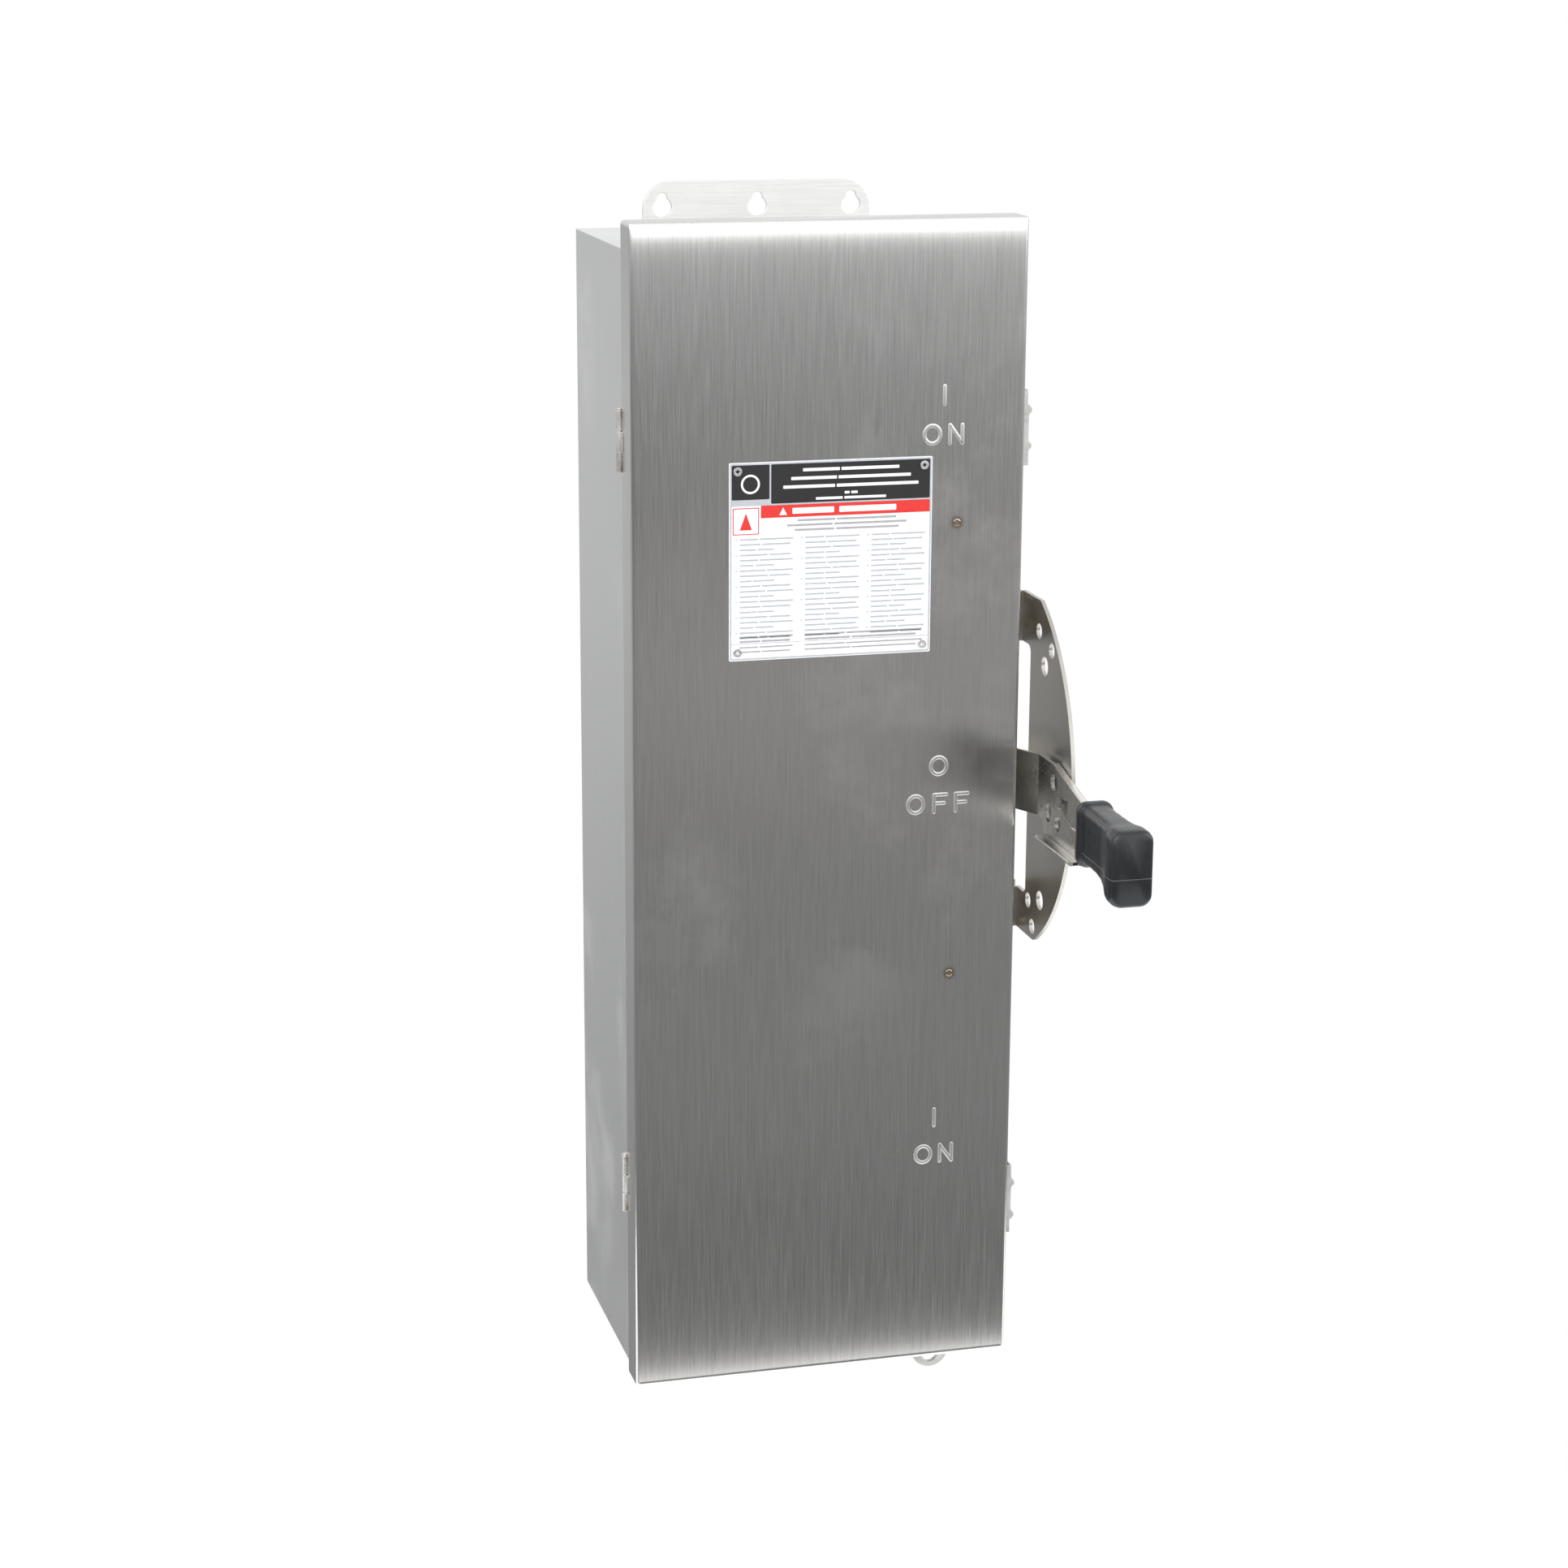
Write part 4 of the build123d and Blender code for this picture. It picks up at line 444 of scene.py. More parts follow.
def softened(node, width):
    """Show a copy of a CAD node, with its hard edges rolled over, in the node's place."""
    bm = bmesh.new()
    bm.from_mesh(NODES[node].data)
    bmesh.ops.remove_doubles(bm, verts=bm.verts, dist=WELD_GAP)
    bmesh.ops.dissolve_limit(bm, angle_limit=radians(COPLANAR_ANGLE), verts=bm.verts, edges=bm.edges)
    obj = new_object(node + "_shape", bm, LOOK_OF[node], BODY_OF[node], FLAT_CREASE)
    bevel = obj.modifiers.new("edges", "BEVEL")
    bevel.width = width
    bevel.segments = EDGE_SEGMENTS
    bevel.limit_method = "ANGLE"
    bevel.angle_limit = radians(EDGE_ANGLE)
    bevel.harden_normals = True
    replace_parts(obj, node)


def bridge(bm, first, second):
    """Faces between two rings of vertices of the same count."""
    for i in range(len(first)):
        j = (i + 1) % len(first)
        bm.faces.new((first[i], first[j], second[j], second[i]))


def skin_rings(bm, rings, closed_ends=True):
    """Join rings of points, each with the same count, into a skin."""
    loops = [[bm.verts.new(point) for point in ring] for ring in rings]
    for first, second in zip(loops, loops[1:]):
        bridge(bm, first, second)
    if closed_ends:
        bm.faces.new(loops[0])
        bm.faces.new(loops[-1])
    return loops


def arc(centre, radius, start, end, steps):
    """Points on an ellipse or circle, angles in degrees."""
    rx, rz = radius if isinstance(radius, tuple) else (radius, radius)
    angles = [radians(start + (end - start) * i / steps) for i in range(steps + 1)]
    return [(centre[0] + rx * cos(a), centre[1] + rz * sin(a)) for a in angles]


def ring_points(centre, radius, steps):
    """Points once round an ellipse or circle."""
    return arc(centre, radius, 0, 360, steps)[:-1]


def rounded_rectangle(low, high, corner, side_steps=1, corner_steps=3):
    """Points round a rectangle with rounded corners, counter-clockwise from the right side."""
    points = []
    corners = (
        ((high[0] - corner, high[1] - corner), 0),
        ((low[0] + corner, high[1] - corner), 90),
        ((low[0] + corner, low[1] + corner), 180),
        ((high[0] - corner, low[1] + corner), 270),
    )
    for i, (centre, start) in enumerate(corners):
        points += arc(centre, corner, start, start + 90, corner_steps)
        following, turn = corners[(i + 1) % 4]
        target = arc(following, corner, turn, turn + 90, corner_steps)[0]
        last = points[-1]
        for step in range(1, side_steps):
            t = step / side_steps
            points.append((last[0] + (target[0] - last[0]) * t, last[1] + (target[1] - last[1]) * t))
    return points


def round_section(place, side, up, radius, sides=8):
    """Points round a path at a place, in the plane of side and up."""
    turns = [2 * pi * k / sides for k in range(sides)]
    return [place + (side * cos(a) + up * sin(a)) * radius for a in turns]


# ---- door skin: a folded pan whose face draws back a little towards its edges ----
# Depth of the draw at each edge and the distance over which it fades.
DRAW = {"top": (0.95 * MM, 8 * MM), "bottom": (1.00 * MM, 18 * MM), "side": (0.05 * MM, 8 * MM)}
# The slight bow of the sheet: its depth, and its waves up and across the face.
BOW = 0.35 * MM
BOW_UP = 7
BOW_LEAN = 2.2
BOW_ACROSS = 1.5
PAN_STATIONS = (0, 1.5, 3.5, 6, 9, 12.5, 17, 22, 29, 38, 50, 66, 86)
MIDDLE_GAP = 10 * MM
FACE_STEP = 34 * MM
BEND_STEPS = 6
RAW_EDGE = 0.3 * MM
INNER_EDGE = 0.2 * MM
INNER_BEND = 1.4 * MM


def stations(length):
    """Distances along an edge of the face, close together near its two ends."""
    near = [step * MM for step in PAN_STATIONS if step * MM < length / 2 - MIDDLE_GAP]
    middle = length - 2 * near[-1]
    count = max(1, round(middle / FACE_STEP))
    inner = [near[-1] + middle * i / count for i in range(1, count)]
    return near + inner + [length - distance for distance in near[::-1]]


FACE_XS = [DOOR_LOW.x + BEND_R + d for d in stations(DOOR_HIGH.x - DOOR_LOW.x - 2 * BEND_R)]
FACE_ZS = [DOOR_LOW.z + BEND_R + d for d in stations(DOOR_HIGH.z - DOOR_LOW.z - 2 * BEND_R)]


def draw_back(x, z):
    """How far the face lies behind its highest plane: drawn edges and a slight bow of the sheet."""
    near = (
        ("top", DOOR_HIGH.z - z), ("bottom", z - DOOR_LOW.z),
        ("side", x - DOOR_LOW.x), ("side", DOOR_HIGH.x - x),
    )
    edges = sum(DRAW[edge][0] * exp(-distance / DRAW[edge][1]) for edge, distance in near)
    across = (x - DOOR_LOW.x) / (DOOR_HIGH.x - DOOR_LOW.x)
    up = (z - DOOR_LOW.z) / (DOOR_HIGH.z - DOOR_LOW.z)
    return edges + BOW * (1 + sin(BOW_UP * up + BOW_LEAN * across) * cos(BOW_ACROSS * across)) / 2


def pan_ring(inset, y, follow=0.0):
    """One ring of the pan; follow says how fully it takes the face's curve."""
    radius = BEND_R - inset
    left, right = FACE_XS[0], FACE_XS[-1]
    bottom, top = FACE_ZS[0], FACE_ZS[-1]
    points = [(x, DOOR_LOW.z + inset) for x in FACE_XS[:-1]]
    points += arc((right, bottom), radius, -90, 0, BEND_STEPS)
    points += [(DOOR_HIGH.x - inset, z) for z in FACE_ZS[1:-1]]
    points += arc((right, top), radius, 0, 90, BEND_STEPS)
    points += [(x, DOOR_HIGH.z - inset) for x in FACE_XS[-2:0:-1]]
    points += arc((left, top), radius, 90, 180, BEND_STEPS)
    points += [(DOOR_LOW.x + inset, z) for z in FACE_ZS[-2:0:-1]]
    points += arc((left, bottom), radius, 180, 270, BEND_STEPS)[:-1]
    return [(x, y + follow * draw_back(x, z), z) for x, z in points]


def add_door():
    """The pan from the inner corner of its flange, round the raw edge and the bend, to the face."""
    front = DOOR_FACE
    inner = front + SHEET
    back = DOOR_HIGH.y
    rings = [
        pan_ring(SHEET, inner + INNER_BEND), pan_ring(SHEET, back - INNER_EDGE),
        pan_ring(SHEET - RAW_EDGE, back), pan_ring(RAW_EDGE, back), pan_ring(0, back - RAW_EDGE),
    ]
    for step in range(BEND_STEPS + 1):
        turn = radians(90 / BEND_STEPS * step)
        y = front + BEND_R * (1 - sin(turn))
        rings.append(pan_ring(BEND_R * (1 - cos(turn)), y, step / BEND_STEPS))
    bm = bmesh.new()
    skin_rings(bm, rings, closed_ends=False)
    face = [[bm.verts.new((x, front + draw_back(x, z), z)) for x in FACE_XS] for z in FACE_ZS]
    for lower, upper in zip(face, face[1:]):
        for i in range(len(FACE_XS) - 1):
            bm.faces.new((lower[i], lower[i + 1], upper[i + 1], upper[i]))
    inside = [bm.verts.new(point) for point in pan_ring(BEND_R, inner)]
    mouth = [bm.verts.new(point) for point in pan_ring(SHEET, inner + INNER_BEND)]
    bridge(bm, inside, mouth)
    bm.faces.new(inside)
    bmesh.ops.remove_doubles(bm, verts=bm.verts, dist=WELD_GAP)
    bmesh.ops.dissolve_degenerate(bm, dist=TINY, edges=bm.edges)
    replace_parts(new_object("door_skin", bm, MATERIALS["door"], "door", FOLDED_CREASE), "door_panel")


# ---- raised marks on the door ----
STROKE = 3.2 * MM
RISE = 0.20 * MM
BED = 0.1 * MM
CREST = 0.34
HALF_SECTION = 4
# Turns round a stroke's end at which its cap has a ring, and the least size of the last one.
CAP_TURNS = (0.5, 1.0, 1.35, pi / 2)
CAP_TIP = 0.05
GLYPH_HALF = 6.7 * MM
UPRIGHTS_APART = 9.6 * MM
F_SHORTER = 1.6 * MM
O_HALF = 6.2 * MM
O_SIDES = 32
# Left edge and middle height of each straight mark, and the middle of each round one, in millimetres.
STRAIGHT_MARKS = (
    ("I", 89.5, 319.7), ("N", 94.1, 290.5), ("I", 90.5, -247.5), ("N", 95.6, -277.5),
    ("F", 86.4, 7.0), ("F", 103.6, 7.0),
)
ROUND_MARKS = ((82.0, 290.5), (83.5, -277.5), (73.2, 7.0), (91.1, 36.5))
# Radius and lift of each ring of a weld dimple, in millimetres.
DIMPLE = ((2.9, -0.1), (2.6, 0.06), (2.0, 0.14), (1.2, 0.10), (0.4, 0.06))
DIMPLE_SIDES = 20


def cap(end, inner):
    """Places and sizes that round off a stroke past its end."""
    outward = (end - inner).normalized()
    return [(end + outward * STROKE / 2 * sin(a), max(cos(a), CAP_TIP)) for a in CAP_TURNS]


def raised_stroke(bm, points, closed=False):
    """A stamped bead along points on the door's face: rounded crest, soft flanks, round ends."""
    path = [(Vector((x, 0, z)), 1.0) for x, z in points]
    if not closed:
        head = cap(path[0][0], path[1][0])
        tail = cap(path[-1][0], path[-2][0])
        path = head[::-1] + path + tail
    count = len(path)
    rings = []
    for i, (place, size) in enumerate(path):
        before = path[(i - 1) % count][0] if closed or i else place
        after = path[(i + 1) % count][0] if closed or i < count - 1 else place
        along = (after - before).normalized()
        across = Vector((along.z, 0, -along.x))
        ring = []
        for step in range(-HALF_SECTION, HALF_SECTION + 1):
            s = step / HALF_SECTION
            slope = max(0.0, (abs(s) - CREST) / (1 - CREST))
            lift = RISE * (0.5 + 0.5 * cos(pi * slope)) * size
            ring.append(place + across * (STROKE / 2 * s * size) + Vector((0, DOOR_FACE + BED - lift, 0)))
        rings.append(ring)
    if closed:
        rings.append(rings[0])
        loops = skin_rings(bm, rings, closed_ends=False)
        bmesh.ops.remove_doubles(bm, verts=loops[0] + loops[-1], dist=TINY)
    else:
        skin_rings(bm, rings)


def glyph_strokes(letter, left, middle):
    """Strokes of one mark whose left edge and middle height are given, in metres."""
    low, high = middle - GLYPH_HALF, middle + GLYPH_HALF
    x = left + STROKE / 2
    right = x + UPRIGHTS_APART
    if letter == "I":
        return [((x, low), (x, high))]
    if letter == "N":
        return [((x, low), (x, high)), ((x, high), (right, low)), ((right, low), (right, high))]
    return [((x, low), (x, high)), ((x, high), (right, high)), ((x, middle), (right - F_SHORTER, middle))]


def add_marks():
    """ON, OFF, I and O beside the label: the handle's three positions."""
    bm = bmesh.new()
    for letter, left, middle in STRAIGHT_MARKS:
        for start, end in glyph_strokes(letter, left * MM, middle * MM):
            raised_stroke(bm, (start, end))
    for x, z in ROUND_MARKS:
        raised_stroke(bm, ring_points((x * MM, z * MM), (O_HALF, GLYPH_HALF), O_SIDES), closed=True)
    new_object("position_marks", bm, MATERIALS["mark"], "door", ROUND_CREASE)


def add_weld_dimples():
    """Small domed marks where the catch strip is welded behind the door."""
    bm = bmesh.new()
    for point, _, _ in DOOR_WELDS:
        rings = []
        for radius, lift in DIMPLE:
            y = DOOR_FACE - lift * MM
            rings.append([(x, y, z) for x, z in ring_points((point.x, point.z), radius * MM, DIMPLE_SIDES)])
        skin_rings(bm, rings)
    new_object("weld_dimples", bm, MATERIALS["door"], "door", ROUND_CREASE)


# ---- label print: plain blocks, bars and rules, with no lettering ----
PRINT_LIFT = 0.06 * MM
PRINT_T = 0.10 * MM
# Layout in millimetres from the label's lower left corner.
LABEL_WIDE = (LABEL_HIGH.x - LABEL_LOW.x) / MM
LABEL_TALL = (LABEL_HIGH.z - LABEL_LOW.z) / MM
BORDER = 0.6
MARGIN = 1.8
INNER_RIGHT = LABEL_WIDE - MARGIN
HEAD_LOW = LABEL_TALL - 31
HEAD_SPLIT = (30.5, 31.8)
HEAD_MIDDLE = 93
BAND_LOW = HEAD_LOW - 10.5
BAND_TOP = HEAD_LOW - 1.2
SIGN_BLOCK = (2.6, 22.6)
SIGN_DROP, SIGN_RISE = 12, 8
SIGN_LINE = 0.7
BAND_WORDS = ((48, 80), (84, 128))
EMBLEM = (16, 16)
EMBLEM_R, EMBLEM_HOLE_R, EMBLEM_SIDES = 7.2, 5.6, 36
TEXT_COLUMNS = ((8, 50), (58, 101), (109, 152))
FOOT_COLUMNS = ((8, 50), (58, 152))
FOOT_ROWS = ((18.5, 1.3), (10.5, 1.0))
FOOT_PITCH = 3.4
RULE = (12.6, 13.0)
BULLET_OUT = 3.2
WORD_GAP = 1.2


def print_layer(name, look, shapes, level=0):
    """Thin printed shapes on the label; each shape is a list of (x, z) points on the door."""
    front = LABEL_LOW.y - PRINT_LIFT * level
    bm = bmesh.new()
    for shape in shapes:
        back_ring = [(x, front + PRINT_T, z) for x, z in shape]
        face_ring = [(x, front - PRINT_LIFT, z) for x, z in shape]
        skin_rings(bm, [back_ring, face_ring])
    new_object(name, bm, MATERIALS[look], "door", FLAT_CREASE)


def on_label(x, z):
    """A point on the door from millimetres on the label."""
    return LABEL_LOW.x + x * MM, LABEL_LOW.z + z * MM


def panel(left, low, right, high, corner=0.8):
    """Rounded rectangle given in millimetres from the label's lower left corner."""
    return rounded_rectangle(on_label(left, low), on_label(right, high), corner * MM)


def text_bars(left, right, top, rows, pitch, height, shorten=3):
    """Rows of bars that stand for a paragraph; every few rows the last bar is short."""
    bars = []
    for row in range(rows):
        z = top - row * pitch
        end = left + (right - left) * (0.62 if row % shorten == shorten - 1 else 0.97 - 0.05 * (row % 2))
        gap = left + (end - left) * (0.34 + 0.07 * (row % 4))
        bars.append(panel(left, z - height, gap, z, 0.2))
        bars.append(panel(gap + WORD_GAP, z - height, end, z, 0.2))
    return bars


def rows_of_bars(rows, middle, drop, pitch, height):
    """Centred rows of bars, each row given as half its width."""
    bars = []
    for row, half in enumerate(rows):
        z = drop - row * pitch
        split = middle - half * 0.24
        bars.append(panel(middle - half, z - height, split, z, 0.3))
        bars.append(panel(split + 1.3, z - height, middle + half, z, 0.3))
    return bars


def bullet_columns(columns, top, rows, pitch, height):
    """Columns of short paragraphs, each opened by a square bullet."""
    bars = []
    for number, (left, right) in enumerate(columns):
        lines = 3 + number % 2
        bars += text_bars(left, right, top, rows, pitch, height, lines)
        bullet = left - BULLET_OUT
        for row in range(0, rows, lines):
            z = top - row * pitch
            bars.append(panel(bullet, z - height, bullet + height, z, 0.2))
    return bars


def foot_bars():
    """Short paragraphs along the label's foot, in two sizes."""
    bars = []
    for top, height in FOOT_ROWS:
        for left, right in FOOT_COLUMNS:
            bars += text_bars(left, right, top, 2, FOOT_PITCH, height)
    return bars


def add_label_print():
    """The print from the border up: grounds first, then what lies over them."""
    emblem = (LABEL_LOW.x + EMBLEM[0] * MM, LABEL_LOW.z + (LABEL_TALL - EMBLEM[1]) * MM)
    print_layer("label_border", "pale_print", [
        panel(BORDER, BORDER, LABEL_WIDE - BORDER, LABEL_TALL - BORDER, 1.2),
    ])
    print_layer("label_ground", "white_print", [panel(MARGIN, MARGIN, INNER_RIGHT, BAND_TOP)], 1)
    print_layer("label_header", "black_print", [
        panel(MARGIN, HEAD_LOW + 3.5, HEAD_SPLIT[0], LABEL_TALL - MARGIN),
        panel(HEAD_SPLIT[1], HEAD_LOW, INNER_RIGHT, LABEL_TALL - MARGIN),
    ], 1)
    bars = rows_of_bars((37, 46, 52), HEAD_MIDDLE, LABEL_TALL - 5.5, 6.2, 2.3)
    bars += rows_of_bars((5, 27), HEAD_MIDDLE, LABEL_TALL - 23.6, 3.8, 1.9)
    bars.append(ring_points(emblem, EMBLEM_R * MM, EMBLEM_SIDES))
    print_layer("label_header_bars", "white_print", bars, 2)
    hole = ring_points(emblem, EMBLEM_HOLE_R * MM, EMBLEM_SIDES)
    print_layer("label_header_disc", "black_print", [hole], 3)
    block_left, block_right = SIGN_BLOCK
    block_low, block_top = BAND_LOW - SIGN_DROP, BAND_LOW + SIGN_RISE
    print_layer("label_band", "red_print", [
        panel(24, BAND_LOW, INNER_RIGHT, BAND_TOP, 0.3),
        panel(block_left, block_low, block_right, block_top),
    ], 2)
    triangle = ((38, BAND_LOW + 1.8), (44, BAND_LOW + 1.8), (41, BAND_LOW + 7.4))
    white = [[on_label(x, z) for x, z in triangle]]
    white += [panel(left, BAND_LOW + 2.4, right, BAND_LOW + 6.8, 0.5) for left, right in BAND_WORDS]
    white.append(panel(
        block_left + SIGN_LINE, block_low + SIGN_LINE, block_right - SIGN_LINE, block_top - SIGN_LINE, 0.5,
    ))
    print_layer("label_band_shapes", "white_print", white, 3)
    sign = ((8, BAND_LOW - 8.5), (17.2, BAND_LOW - 8.5), (12.6, BAND_LOW + 4))
    print_layer("label_sign", "red_print", [[on_label(x, z) for x, z in sign]], 4)
    grey = rows_of_bars((38, 46, 40), 90, BAND_LOW - 1.8, 3.6, 1.5)
    print_layer("label_dark_bars", "grey_print", grey + foot_bars(), 4)
    pale = bullet_columns(TEXT_COLUMNS, BAND_LOW - 15, 20, 3.9, 1.1)
    pale.append(panel(MARGIN, RULE[0], INNER_RIGHT, RULE[1], 0.1))
    print_layer("label_text_bars", "pale_print", pale, 4)


# ---- grip: rubber handle with a collar, soft finger ridges, a flared end and a parting line ----
GRIP_X = 181 * MM
GRIP_PATH = (
    # out from the wall, width, top, bottom, corner
    (304.5, 22.0, 26.0, -18.6, 6.0), (305.0, 25.5, 27.6, -20.4, 7.0), (306.2, 27.6, 28.4, -21.2, 7.6),
    (309.5, 28.0, 28.6, -21.4, 7.8), (312.2, 27.2, 28.2, -21.0, 7.6), (313.6, 24.8, 27.4, -19.8, 7.0),
    (314.6, 23.0, 26.9, -18.8, 6.6), (318.0, 22.6, 26.7, -18.6, 6.6), (324.0, 23.6, 26.7, -18.4, 6.8),
    (330.0, 22.6, 26.6, -18.4, 6.8), (336.0, 23.8, 26.5, -18.6, 6.8), (342.0, 22.8, 26.4, -19.0, 6.8),
    (348.0, 24.2, 26.4, -19.8, 7.0), (354.0, 23.6, 26.3, -21.2, 7.0), (360.0, 25.2, 26.3, -23.2, 7.2),
    (366.0, 27.0, 26.3, -25.6, 7.6), (371.0, 29.6, 26.6, -27.8, 8.0), (375.0, 31.8, 26.9, -29.4, 8.2),
    (378.0, 32.5, 26.9, -30.3, 8.4), (385.0, 32.5, 26.9, -30.7, 8.6), (388.4, 31.8, 26.4, -30.3, 8.6),
    (390.0, 30.0, 25.4, -29.3, 8.0), (390.7, 27.0, 23.8, -27.7, 7.0),
)
SEAM_Z = -9.0 * MM
SEAM_START = 314.6
SEAM_R = 0.30 * MM
SEAM_SUNK = 0.12 * MM
SEAM_END_SUNK = 0.42 * MM
SEAM_END_HALF = 12.5 * MM
# Finger ribs in millimetres: how far out each lies, its heights, and how far its ends sink at each.
RIB_OUTS = (321.0, 326.5, 332.0, 337.5, 343.0, 348.5)
RIB_X = 11.4
FLARE_START = 340
FLARE = 0.07
RIB_HEIGHTS = (-14, -11, -4, 4, 12, 18, 21)
RIB_SINKS = (1.4, 0.5, 0, 0, 0, 0.5, 1.4)
RIB_LIFT = 0.75
RIB_BED = 0.25
RIB_ROOT = 1.2 * MM
RIB_HALF = 1.7 * MM
RIB_HALF_SECTION = 3


def grip_ring(out, width, top, bottom, corner):
    """One section of the grip, from a row of GRIP_PATH."""
    low = (GRIP_X - width * MM / 2, bottom * MM)
    high = (GRIP_X + width * MM / 2, top * MM)
    return [(x, -out * MM, z) for x, z in rounded_rectangle(low, high, corner * MM, 6, 6)]


def tube(bm, path, radius):
    """A round strip that follows a path of points."""
    rings = []
    for i, place in enumerate(path):
        along = (path[min(i + 1, len(path) - 1)] - path[max(i - 1, 0)]).normalized()
        side = along.cross(Vector((0, 0, 1))).normalized()
        rings.append(round_section(place, side, side.cross(along), radius))
    skin_rings(bm, rings)


def seam_side(side):
    """The parting line along one side of the grip, just under its skin."""
    return [
        Vector((GRIP_X + side * (width * MM / 2 - SEAM_SUNK), -out * MM, SEAM_Z))
        for out, width, *_ in GRIP_PATH if out >= SEAM_START
    ]


def rib(bm, path, side):
    """A low rounded finger rib on one side of the grip."""
    rings = []
    for place in path:
        ring = []
        for step in range(-RIB_HALF_SECTION, RIB_HALF_SECTION + 1):
            s = step / RIB_HALF_SECTION
            lift = (RIB_LIFT * (0.5 + 0.5 * cos(pi * s)) - RIB_BED) * MM
            ring.append(place + Vector((side * lift, RIB_HALF * s, 0)))
        ring.append(place - Vector((side * RIB_ROOT, 0, 0)))
        rings.append(ring)
    skin_rings(bm, rings)


def add_grip():
    """The grip's body, its parting line and its finger ribs."""
    bm = bmesh.new()
    skin_rings(bm, [grip_ring(*section) for section in GRIP_PATH])
    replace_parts(new_object("grip_body", bm, MATERIALS["rubber"], "handle", MOULDED_CREASE), "handle_grip")
    end = GRIP_LOW.y + SEAM_END_SUNK
    across = [Vector((GRIP_X + s * SEAM_END_HALF, end, SEAM_Z)) for s in (-1, -0.5, 0, 0.5, 1)]
    bm = bmesh.new()
    tube(bm, seam_side(-1) + across + seam_side(1)[::-1], SEAM_R)
    new_object("grip_parting_line", bm, MATERIALS["seam"], "handle", ROUND_CREASE)
    bm = bmesh.new()
    for out in RIB_OUTS:
        half = (RIB_X + max(0, out - FLARE_START) * FLARE) * MM
        for side in (-1, 1):
            path = [
                Vector((GRIP_X + side * (half - sink * MM), -out * MM, z * MM))
                for z, sink in zip(RIB_HEIGHTS, RIB_SINKS)
            ]
            rib(bm, path, side)
    new_object("grip_ribs", bm, MATERIALS["rubber"], "handle", ROUND_CREASE)


# ---- rolled lips along the arm's two edges ----
ARM_X = 172.7 * MM
LIP_T = 3.0 * MM
LIP_PROUD = 0.15 * MM
LIP_CORNER = 1.3 * MM
# Distance from each end of a lip and the size of its section there.
LIP_ENDS = ((0.0, 0.45), (0.5 * MM, 0.74), (1.3 * MM, 0.92), (2.6 * MM, 1.0))
# Each lip in millimetres: (y, z) of its two ends, and its left and right edge from ARM_X.
UPPER_LIP = ((-234.0, 40.2), (-300.5, 26.1), (0.4, 5.9))
LOWER_LIP = ((-220.0, -19.0), (-303.0, -19.0), (-8.2, 0.6))


def add_lip(bm, start, end, span):
    """A bar with rounded edges and ends; start and end are on its upper face."""
    left, right = (ARM_X + offset * MM for offset in span)
    first = Vector((0, *start)) * MM
    run = Vector((0, *end)) * MM - first
    along = run.normalized()
    down = Vector((0, -along.z, along.y))
    section = rounded_rectangle((left, -LIP_PROUD), (right, LIP_T + LIP_PROUD), LIP_CORNER)
    middle_x, middle_n = (left + right) / 2, LIP_T / 2
    rings = []
    for distance, size in list(LIP_ENDS) + [(run.length - d, size) for d, size in LIP_ENDS[::-1]]:
        ring = []
        for x, n in section:
            point = first + along * distance + down * (middle_n + (n - middle_n) * size)
            ring.append(point + Vector((middle_x + (x - middle_x) * size, 0, 0)))
        rings.append(ring)
    skin_rings(bm, rings)


def add_arm_lips():
    bm = bmesh.new()
    for start, end, span in (UPPER_LIP, LOWER_LIP):
        add_lip(bm, start, end, span)
    # The lips take the lighter steel, a painted highlight.
    new_object("arm_lips", bm, MATERIALS["lip"], "handle", MOULDED_CREASE)


# ---- weld beads ----
RIPPLE_STEPS = 4
RIPPLE_LOW = 0.8
BEAD_TIP = 0.25
BEAD_TAPER = 6
LOCK_BEAD_Y = -139 * MM
LOCK_BEAD_HALF = Vector((0, 0, 8 * MM))
LOCK_BEAD_R = 1.3 * MM
LOCK_BEAD_RIPPLES = 7
RIM_BEAD_OUT = 0.97
RIM_BEAD_START = 6 * MM
RIM_BEAD_END = -4 * MM
RIM_BEAD_R = 1.2 * MM
RIM_BEAD_RIPPLES = 9


def weld_bead(bm, start, end, radius, ripples):
    """A run of overlapping weld ripples between two points."""
    run = end - start
    along = run.normalized()
    side = along.orthogonal().normalized()
    up = along.cross(side)
    steps = ripples * RIPPLE_STEPS
    rings = []
    for i in range(steps + 1):
        t = i / steps
        swell = RIPPLE_LOW + (1 - RIPPLE_LOW) * abs(sin(pi * ripples * t))
        taper = min(1.0, BEAD_TIP + BEAD_TAPER * min(t, 1 - t))
        rings.append(round_section(start + run * t, side, up, radius * swell * taper))
    skin_rings(bm, rings)


def add_welds():
    """Beads beside the lock plate's feet, and along the box where the upper foot's edges meet it."""
    bm = bmesh.new()
    for z in LOCK_FOOT_ZS:
        at = Vector((BOX_HIGH.x, LOCK_BEAD_Y, z * MM))
        weld_bead(bm, at - LOCK_BEAD_HALF, at + LOCK_BEAD_HALF, LOCK_BEAD_R, LOCK_BEAD_RIPPLES)
    foot_low, foot_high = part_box("upper_mounting_foot")
    for side in (-1, 1):
        x = side * foot_high.x * RIM_BEAD_OUT
        for z in (BOX_HIGH.z, BOX_LOW.z):
            start = Vector((x, foot_low.y + RIM_BEAD_START, z))
            weld_bead(bm, start, Vector((x, RIM_BEAD_END, z)), RIM_BEAD_R, RIM_BEAD_RIPPLES)
    new_object("frame_welds", bm, MATERIALS["bracket"], "enclosure", ROUND_CREASE)


